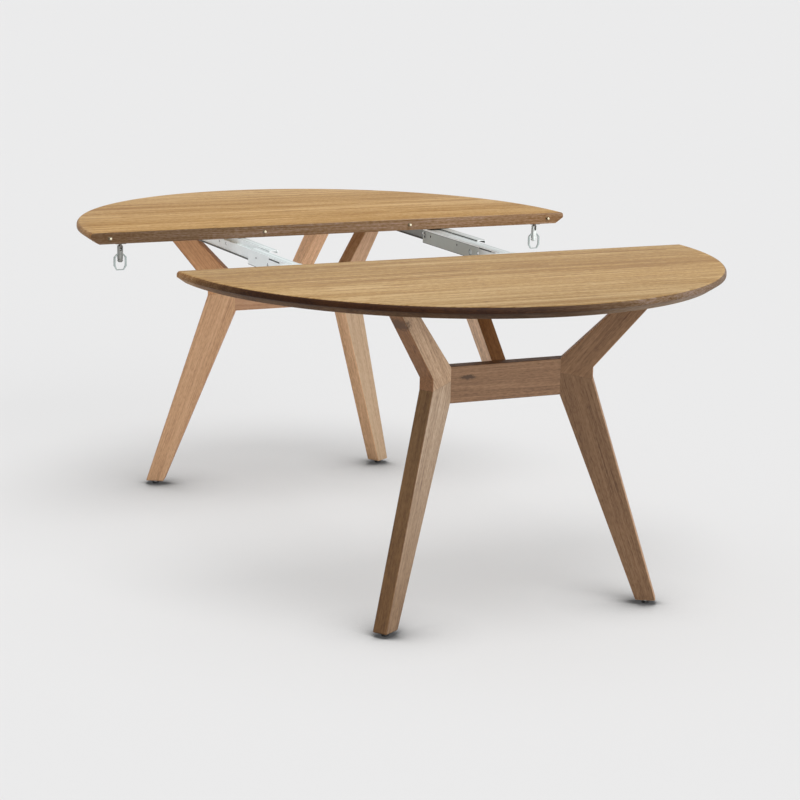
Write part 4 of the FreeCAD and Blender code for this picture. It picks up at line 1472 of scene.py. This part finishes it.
# ------------------------------------------------------------------ screws
@dataclass(frozen=True)
class ScrewKind:
    """Sizes of one kind of screw; a sunk head also passes through the plate."""

    head_radius: float
    head_height: float
    shank_radius: float
    grip: float
    sunk_head: float = 0.002
    plate: float = 0.004

    def sizes(self) -> dict[str, float]:
        """The sizes by the names that the tree gives them."""
        return {"Head radius": self.head_radius, "Head height": self.head_height,
                "Shank radius": self.shank_radius, "Grip": self.grip, "Sunk head": self.sunk_head,
                "Plate": self.plate}


class Drive(Enum):
    """The way a screw is driven, and the shape of its head."""

    UPWARDS_PAN = (math.pi, False)
    DOWNWARDS_SUNK = (0.0, True)

    @property
    def flip(self) -> float:
        """Turn about X that brings the screw from head up to its own way."""
        return self.value[0]

    @property
    def sunk(self) -> bool:
        """Whether the head lies flush in its plate."""
        return self.value[1]


@dataclass
class ScrewSet:
    """Cross-head screws of one kind that hold one body's fittings.

    A screw's section has six runs: crown, rim, side, seat, shank and point. The cross is counted in
    head radii and head heights.
    """

    node: str
    body: str
    kind: ScrewKind
    seats: list[tuple[Vector, Drive]]
    around: int = 24
    runs: int = 6
    spin_step: float = 0.9
    weld: float = 0.00001
    sharp_over: float = 30.0
    crown_share: float = 0.82
    shank_share: float = 0.85
    rim_height: float = 0.6
    cross_length: float = 1.15
    cross_width: float = 0.24
    cross_depth: float = 0.7
    sunk_cross: float = -0.15
    proud_cross: float = 0.85

    def build(self, finish: bpy.types.Material) -> bpy.types.Object:
        """Makes the screws in place of the node.

        Args:
            finish: their metal.

        Returns:
            The finished piece.
        """
        seats = new_object(f"{self.node}_driven", self.seat_mesh())
        self.screw_tree().put_on(seats, finish)
        piece = settle(seats, self.sharp_over)
        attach(piece, self.body)
        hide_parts(self.node)
        LOG.info("screws %s, %d", piece.name, len(self.seats))
        return piece

    def seat_mesh(self) -> bpy.types.Mesh:
        """Points under the heads, each with its turn and the shape of its head.

        Returns:
            The points' mesh.
        """
        mesh = bpy.data.meshes.new("seats")
        mesh.from_pydata([tuple(place) for place, _ in self.seats], [], [])
        turn = mesh.attributes.new("turn", "FLOAT_VECTOR", "POINT")
        sunk = mesh.attributes.new("sunk", "BOOLEAN", "POINT")
        for index, (_, drive) in enumerate(self.seats):
            turn.data[index].vector = (drive.flip, 0.0, self.spin_step * index)
            sunk.data[index].value = drive.sunk
        return mesh

    def screw_tree(self) -> GeometryTree:
        """Tree that turns both kinds of head on a lathe and stands them on the seats.

        Returns:
            The tree.
        """
        tree = GeometryTree("cross_head_screws", self.kind.sizes())
        graph = tree.graph
        sunk = graph.add("GeometryNodeInputNamedAttribute", {"Name": "sunk"}, data_type="BOOLEAN").outputs[0]
        proud = graph.add("FunctionNodeBooleanMath", {0: sunk}, operation="NOT").outputs[0]
        turn = graph.add("GeometryNodeInputNamedAttribute", {"Name": "turn"}, data_type="FLOAT_VECTOR")
        rotation = graph.add("FunctionNodeEulerToRotation", {0: turn.outputs[0]}).outputs[0]
        placed = [graph.add("GeometryNodeInstanceOnPoints", {
            "Points": tree.inputs["Geometry"], "Selection": chosen,
            "Instance": self._screw(tree, is_sunk), "Rotation": rotation}).outputs[0]
            for chosen, is_sunk in ((proud, False), (sunk, True))]
        tree.finish(tree.join(placed))
        return tree

    def _screw(self, tree: GeometryTree, sunk: bool) -> Socket:
        """One screw with its head up and its seat at the origin.

        Args:
            tree: the tree under way.
            sunk: True for a countersunk head, False for a pan head.

        Returns:
            The screw.
        """
        graph = tree.graph
        grid, along, climb = tree.grid(self.around + 1, self.runs + 1)
        reach, height = self._profile(tree, climb, sunk)
        x, y = graph.polar(reach, graph.maths("MULTIPLY", along, 2.0 * math.pi))
        return self._recessed(tree, tree.merge(tree.bend(grid, x, y, height), self.weld), sunk)

    def _profile(self, tree: GeometryTree, climb: Socket, sunk: bool) -> tuple[Socket, Socket]:
        """The screw's section.

        Args:
            tree: the tree under way.
            climb: 0 at the middle of the head to 1 at the point.
            sunk: True for a countersunk head.

        Returns:
            Distance from the axis, and height above the seat.
        """
        graph = tree.graph
        spans = [(run / self.runs, (run + 1) / self.runs) for run in range(self.runs)]
        in_crown, in_rim, in_side, in_seat, in_shank, in_point = spans
        inwards = graph.remap(climb, in_side if sunk else in_seat)
        crown = graph.remap(climb, in_crown, (0.0, self.crown_share))
        rim = graph.remap(climb, in_rim, (0.0, 1.0 - self.crown_share))
        head = graph.maths("SUBTRACT", graph.maths("ADD", crown, rim), inwards)
        shank = graph.maths("SUBTRACT", inwards, graph.remap(climb, in_point))
        reach = graph.maths("ADD", graph.maths("MULTIPLY", head, tree.inputs["Head radius"]),
                            graph.maths("MULTIPLY", shank, tree.inputs["Shank radius"]))
        driven = graph.maths("ADD", graph.remap(climb, in_shank, (0.0, self.shank_share)),
                             graph.remap(climb, in_point, (0.0, 1.0 - self.shank_share)))
        side = graph.remap(climb, in_side)
        if sunk:
            top = graph.maths("MULTIPLY", side, graph.maths("MULTIPLY", tree.inputs["Sunk head"], -1.0))
            whole = graph.maths("ADD", tree.inputs["Grip"], tree.inputs["Plate"])
            length = graph.maths("SUBTRACT", whole, tree.inputs["Sunk head"])
        else:
            eased = graph.remap(climb, in_rim, (1.0, self.rim_height))
            fall = graph.maths("MULTIPLY", eased, graph.maths("SUBTRACT", 1.0, side))
            top = graph.maths("MULTIPLY", fall, tree.inputs["Head height"])
            length = tree.inputs["Grip"]
        return reach, graph.maths("SUBTRACT", top, graph.maths("MULTIPLY", driven, length))

    def _recessed(self, tree: GeometryTree, screw: Socket, sunk: bool) -> Socket:
        """Cuts the cross into the head.

        Args:
            tree: the tree under way.
            screw: the plain screw.
            sunk: True for a countersunk head.

        Returns:
            The screw with its recess.
        """
        graph = tree.graph
        height = tree.inputs["Sunk head" if sunk else "Head height"]
        long = graph.maths("MULTIPLY", tree.inputs["Head radius"], self.cross_length)
        wide = graph.maths("MULTIPLY", tree.inputs["Head radius"], self.cross_width)
        deep = graph.maths("MULTIPLY", height, self.cross_depth)
        middle = graph.maths("MULTIPLY", height, self.sunk_cross if sunk else self.proud_cross)
        lift = graph.joined(0.0, 0.0, middle)
        cut = graph.add("GeometryNodeMeshBoolean", {"Mesh 1": screw}, operation="DIFFERENCE", solver="EXACT")
        for sizes in ((long, wide, deep), (wide, long, deep)):
            bar = graph.add("GeometryNodeMeshCube", {"Size": graph.joined(*sizes)}).outputs[0]
            raised = graph.add("GeometryNodeTransform", {"Geometry": bar, "Translation": lift}).outputs[0]
            graph.tree.links.new(raised, cut.inputs["Mesh 2"])
        return cut.outputs[0]


WOOD_SCREW = ScrewKind(head_radius=0.0040, head_height=0.0024, shank_radius=0.0020, grip=0.016)
SMALL_SCREW = ScrewKind(head_radius=0.0024, head_height=0.0014, shank_radius=0.0012, grip=0.011)


@dataclass
class Fasteners:
    """Where each screw of the table sits."""

    plate_under: float = 0.713
    rail_under: float = 0.714
    sheet_under: float = 0.7152
    arm_reach: float = 0.179
    brace_reach: float = 0.403
    top_pitch: float = 0.098
    arm_pitch: float = 0.026
    latch_x: float = 0.5715
    rear_rail_offset: float = 0.022
    front_rail_offset: float = -0.038
    rear_rail_places: tuple[float, ...] = (0.312, 0.446, 0.580)
    front_rail_places: tuple[float, ...] = (-0.505, -0.406, -0.307)
    bracket_y: float = 0.303
    bracket_half_pitch: float = 0.009
    keeper_y: float = -0.320
    keeper_half_pitch: float = 0.010

    def build(self) -> None:
        """Makes every set of screws."""
        finish = SCREW_ZINC.material("zinc_screws")
        for half in Half:
            ScrewSet(f"{half.word}_plate_screws", half.body, WOOD_SCREW, self.plates(half)).build(finish)
            ScrewSet(f"{half.word}_rail_screws", half.body, WOOD_SCREW, self.rails(half)).build(finish)
        brackets = self.sheets(self.bracket_y, self.bracket_half_pitch)
        keepers = self.sheets(self.keeper_y, self.keeper_half_pitch)
        ScrewSet("latch_bracket_screws", Half.REAR.body, SMALL_SCREW, brackets).build(finish)
        ScrewSet("keeper_screws", Half.FRONT.body, SMALL_SCREW, keepers).build(finish)

    def plates(self, half: Half) -> list[tuple[Vector, Drive]]:
        """Seats on a half's three mounting plates.

        Args:
            half: the half of the table.

        Returns:
            Place and way of each screw.
        """
        seats = self.plate(Vector((0.0, half.value * self.brace_reach, 0.0)), Vector((0.0, 1.0, 0.0)))
        for side in Side:
            outwards, _, root = leg_plane(half, side)
            seats += self.plate(root + outwards * self.arm_reach, outwards)
        return seats

    def plate(self, middle: Vector, along: Vector) -> list[tuple[Vector, Drive]]:
        """Two screws up into the top and two down into the arm.

        Args:
            middle: the plate's middle.
            along: its long way.

        Returns:
            Place and way of each screw.
        """
        seats: list[tuple[Vector, Drive]] = []
        for sign in (-0.5, 0.5):
            outer = middle + along * (sign * self.top_pitch) + lifted(self.plate_under)
            inner = middle + along * (sign * self.arm_pitch) + lifted(UNDERSIDE)
            seats += [(outer, Drive.UPWARDS_PAN), (inner, Drive.DOWNWARDS_SUNK)]
        return seats

    def rails(self, half: Half) -> list[tuple[Vector, Drive]]:
        """Seats on the flanges of a half's two rails.

        Args:
            half: the half of the table.

        Returns:
            Place and way of each screw.
        """
        rear = half is Half.REAR
        offset = self.rear_rail_offset if rear else self.front_rail_offset
        places = self.rear_rail_places if rear else self.front_rail_places
        return [(Vector((side.value * RUNNER_X + offset, y, self.rail_under)), Drive.UPWARDS_PAN)
                for side in Side for y in places]

    def sheets(self, y: float, half_pitch: float) -> list[tuple[Vector, Drive]]:
        """Seats of the pairs of small screws at the two latches."""
        return [(Vector((side.value * self.latch_x + step, y, self.sheet_under)), Drive.UPWARDS_PAN)
                for side in Side for step in (-half_pitch, half_pitch)]


# ------------------------------------------------------------------ hardware
@dataclass(frozen=True)
class Dressing:
    """One finish and the nodes that wear it."""

    name: str
    finish: MetalFinish | NylonFinish
    nodes: tuple[str, ...]

    def put_on(self) -> None:
        """Makes the material once and gives it to every node."""
        material = self.finish.material(self.name)
        for node in self.nodes:
            dress(node, material)


@dataclass
class Hardware:
    """Plates, rails, pins, glides and latches that keep their CAD shape."""

    rails: dict[Side, dict[str, MetalFinish]]
    dressings: tuple[Dressing, ...] = (
        Dressing("zinc_sheet", ZINC, ("rear_mounting_plates", "front_mounting_plates",
                                      "rear_rail_packers", "front_rail_packers")),
        Dressing("bright_pins", SCREW_ZINC, ("latch_pivot_pins",)),
        Dressing("latch_steel", LATCH_STEEL, ("left_latch_keeper", "right_latch_keeper",
                                              "left_latch_claw", "right_latch_claw")),
        Dressing("dark_steel", DARK_STEEL, ("left_latch_bracket", "right_latch_bracket")),
        Dressing("barrel_left", LEFT_BARREL, ("left_latch_barrel",)),
        Dressing("barrel_right", RIGHT_BARREL, ("right_latch_barrel",)),
        Dressing("nickel_glide", NICKEL, ("rear_foot_stems", "front_foot_stems")),
        Dressing("black_nylon", BLACK_NYLON, ("rear_foot_pads", "front_foot_pads",
                                              "left_wear_strip", "right_wear_strip")),
        Dressing("white_nylon", WHITE_NYLON, ("rear_rail_sliders", "front_rail_sliders")),
        Dressing("brass_pins", PIN_BRASS, ("alignment_pins",)),
        Dressing("brass_bushes", BRASS, ("pin_bushes",)),
    )

    def build(self) -> None:
        """Gives each metal and plastic node its finish."""
        for dressing in self.dressings:
            dressing.put_on()
        for side, finishes in self.rails.items():
            for rail, finish in finishes.items():
                node = f"{side.word}_{rail}_rail"
                dress(node, finish.material(f"zinc_{node}"))


# ------------------------------------------------------------------ studio
@dataclass
class Studio:
    """Pale sweep of floor, soft light and the camera."""

    backdrop: float = 0.823
    dimmed: float = 0.34
    floor_size: float = 60.0
    floor_tone: float = 0.738
    floor_blue: float = 1.006
    floor_glow: float = 0.52
    # Painted contact shade: the floor darkens near the feet by ambient occlusion, in its colour and its
    # glow.
    contact_reach: float = 0.20
    contact_samples: int = 12
    contact_span: Span = (0.55, 0.99)
    contact_tone: float = 0.14
    lens: float = 108.273
    sensor: float = 36.0
    farthest: float = 200.0
    place: Triple = (-2.5085, -5.1537, 1.6086)
    yaw: float = math.radians(26.344)
    pitch: float = math.radians(12.390)
    roll: float = math.radians(1.409)

    def build(self) -> None:
        """Sets the camera, the light and the floor."""
        self.camera()
        self.world()
        self.floor()
        self.sun("key", strength=1.28, toward=Vector((0.04, 0.33, -0.92)), softness=32.0)
        self.sun("sky", strength=0.78, toward=Vector((0.0, 0.12, -0.99)), softness=75.0)
        self.sun("front", strength=2.20, toward=Vector((-0.22, 0.95, -0.20)), softness=60.0)
        bpy.context.scene.view_settings.view_transform = "Standard"

    def camera(self) -> None:
        """Stands the camera at its place, turned, tilted and rolled."""
        ahead = Vector((math.sin(self.yaw), math.cos(self.yaw), 0.0))
        right = Vector((math.cos(self.yaw), -math.sin(self.yaw), 0.0))
        up = lifted(math.cos(self.pitch)) + ahead * math.sin(self.pitch)
        view = ahead * math.cos(self.pitch) - lifted(math.sin(self.pitch))
        level = right * math.cos(self.roll) + up * math.sin(self.roll)
        upright = up * math.cos(self.roll) - right * math.sin(self.roll)
        data = bpy.data.cameras.new("camera")
        data.lens = self.lens
        data.sensor_width = self.sensor
        data.clip_end = self.farthest
        camera = bpy.data.objects.new("camera", data)
        turn = Matrix((level, upright, -view)).transposed().to_4x4()
        camera.matrix_world = Matrix.Translation(self.place) @ turn
        bpy.context.scene.collection.objects.link(camera)
        bpy.context.scene.camera = camera

    def world(self) -> None:
        """A plain pale surround: full tone to the eye and in reflections, dimmer as light."""
        world = bpy.data.worlds.new("surround")
        world.use_nodes = True
        bpy.context.scene.world = world
        graph = NodeGraph(world.node_tree)
        shade = world.node_tree.nodes["Background"]
        rays = graph.add("ShaderNodeLightPath").outputs
        seen = graph.maths("MAXIMUM", rays["Is Camera Ray"], rays["Is Glossy Ray"])
        seen = graph.maths("MAXIMUM", seen, rays["Is Transmission Ray"])
        shade.inputs["Color"].default_value = rgba(PLAIN)
        graph.feed(shade.inputs["Strength"], graph.remap(seen, UNIT, (self.dimmed, self.backdrop)))

    def floor(self) -> None:
        """A wide pale floor that keeps the shadows."""
        shape = bmesh.new()
        bmesh.ops.create_grid(shape, x_segments=2, y_segments=2, size=self.floor_size)
        mesh = mesh_of("floor", shape)
        floor = new_object("floor", mesh)
        mesh.materials.append(self.floor_material())

    def floor_material(self) -> bpy.types.Material:
        """Matt floor whose shadows are softened, to the eye only, by an even glow, with painted contact
        shade near the feet from an occlusion node in both its colour and its glow.

        Returns:
            The material.
        """
        surface = Surface("floor")
        graph = surface.graph
        surface.feed("Roughness", 1.0)
        surface.feed("Specular IOR Level", 0.0)
        reach = {"Distance": self.contact_reach}
        near = graph.add("ShaderNodeAmbientOcclusion", reach, samples=self.contact_samples).outputs["AO"]
        contact = graph.remap(near, self.contact_span, (self.contact_tone, 1.0), smooth=True)
        plain = (self.floor_tone, self.floor_tone, self.floor_tone * self.floor_blue)
        surface.feed("Base Color", graph.tinted(rgba(plain), contact))
        strength = graph.maths("MULTIPLY", contact, self.backdrop)
        glow = graph.add("ShaderNodeEmission", {"Color": rgba(PLAIN), "Strength": strength})
        seen = graph.add("ShaderNodeLightPath").outputs["Is Camera Ray"]
        shares = {0: graph.maths("MULTIPLY", seen, self.floor_glow), 1: surface.shader.outputs[0],
                  2: glow.outputs[0]}
        output = surface.material.node_tree.nodes["Material Output"]
        graph.feed(output.inputs["Surface"], graph.add("ShaderNodeMixShader", shares).outputs[0])
        return surface.material

    def sun(self, name: str, strength: float, toward: Vector, softness: float) -> None:
        """Adds one broad soft light.

        Args:
            name: the lamp's name.
            strength: its irradiance.
            toward: the way its light travels.
            softness: its angular size in degrees.
        """
        data = bpy.data.lights.new(name, "SUN")
        data.energy = strength
        data.angle = math.radians(softness)
        lamp = bpy.data.objects.new(name, data)
        lamp.rotation_euler = toward.to_track_quat("-Z", "Y").to_euler()
        bpy.context.scene.collection.objects.link(lamp)


def main() -> None:
    """Builds the table's sub-assemblies in order, and the studio."""
    logging.basicConfig(level=logging.INFO, format="%(name)s: %(message)s")
    for half, finish, tones in ((Half.REAR, REAR_OAK, REAR_TONES), (Half.FRONT, FRONT_OAK, FRONT_TONES)):
        board = HalfTop(half).build()
        LOG.info("top %s, %d faces", board.name, len(board.data.polygons))
        TimberFrame(half, finish, tones).build()
    Hardware(RAIL_FINISHES).build()
    Fasteners().build()
    Studio().build()


if __name__ == "__main__":
    main()
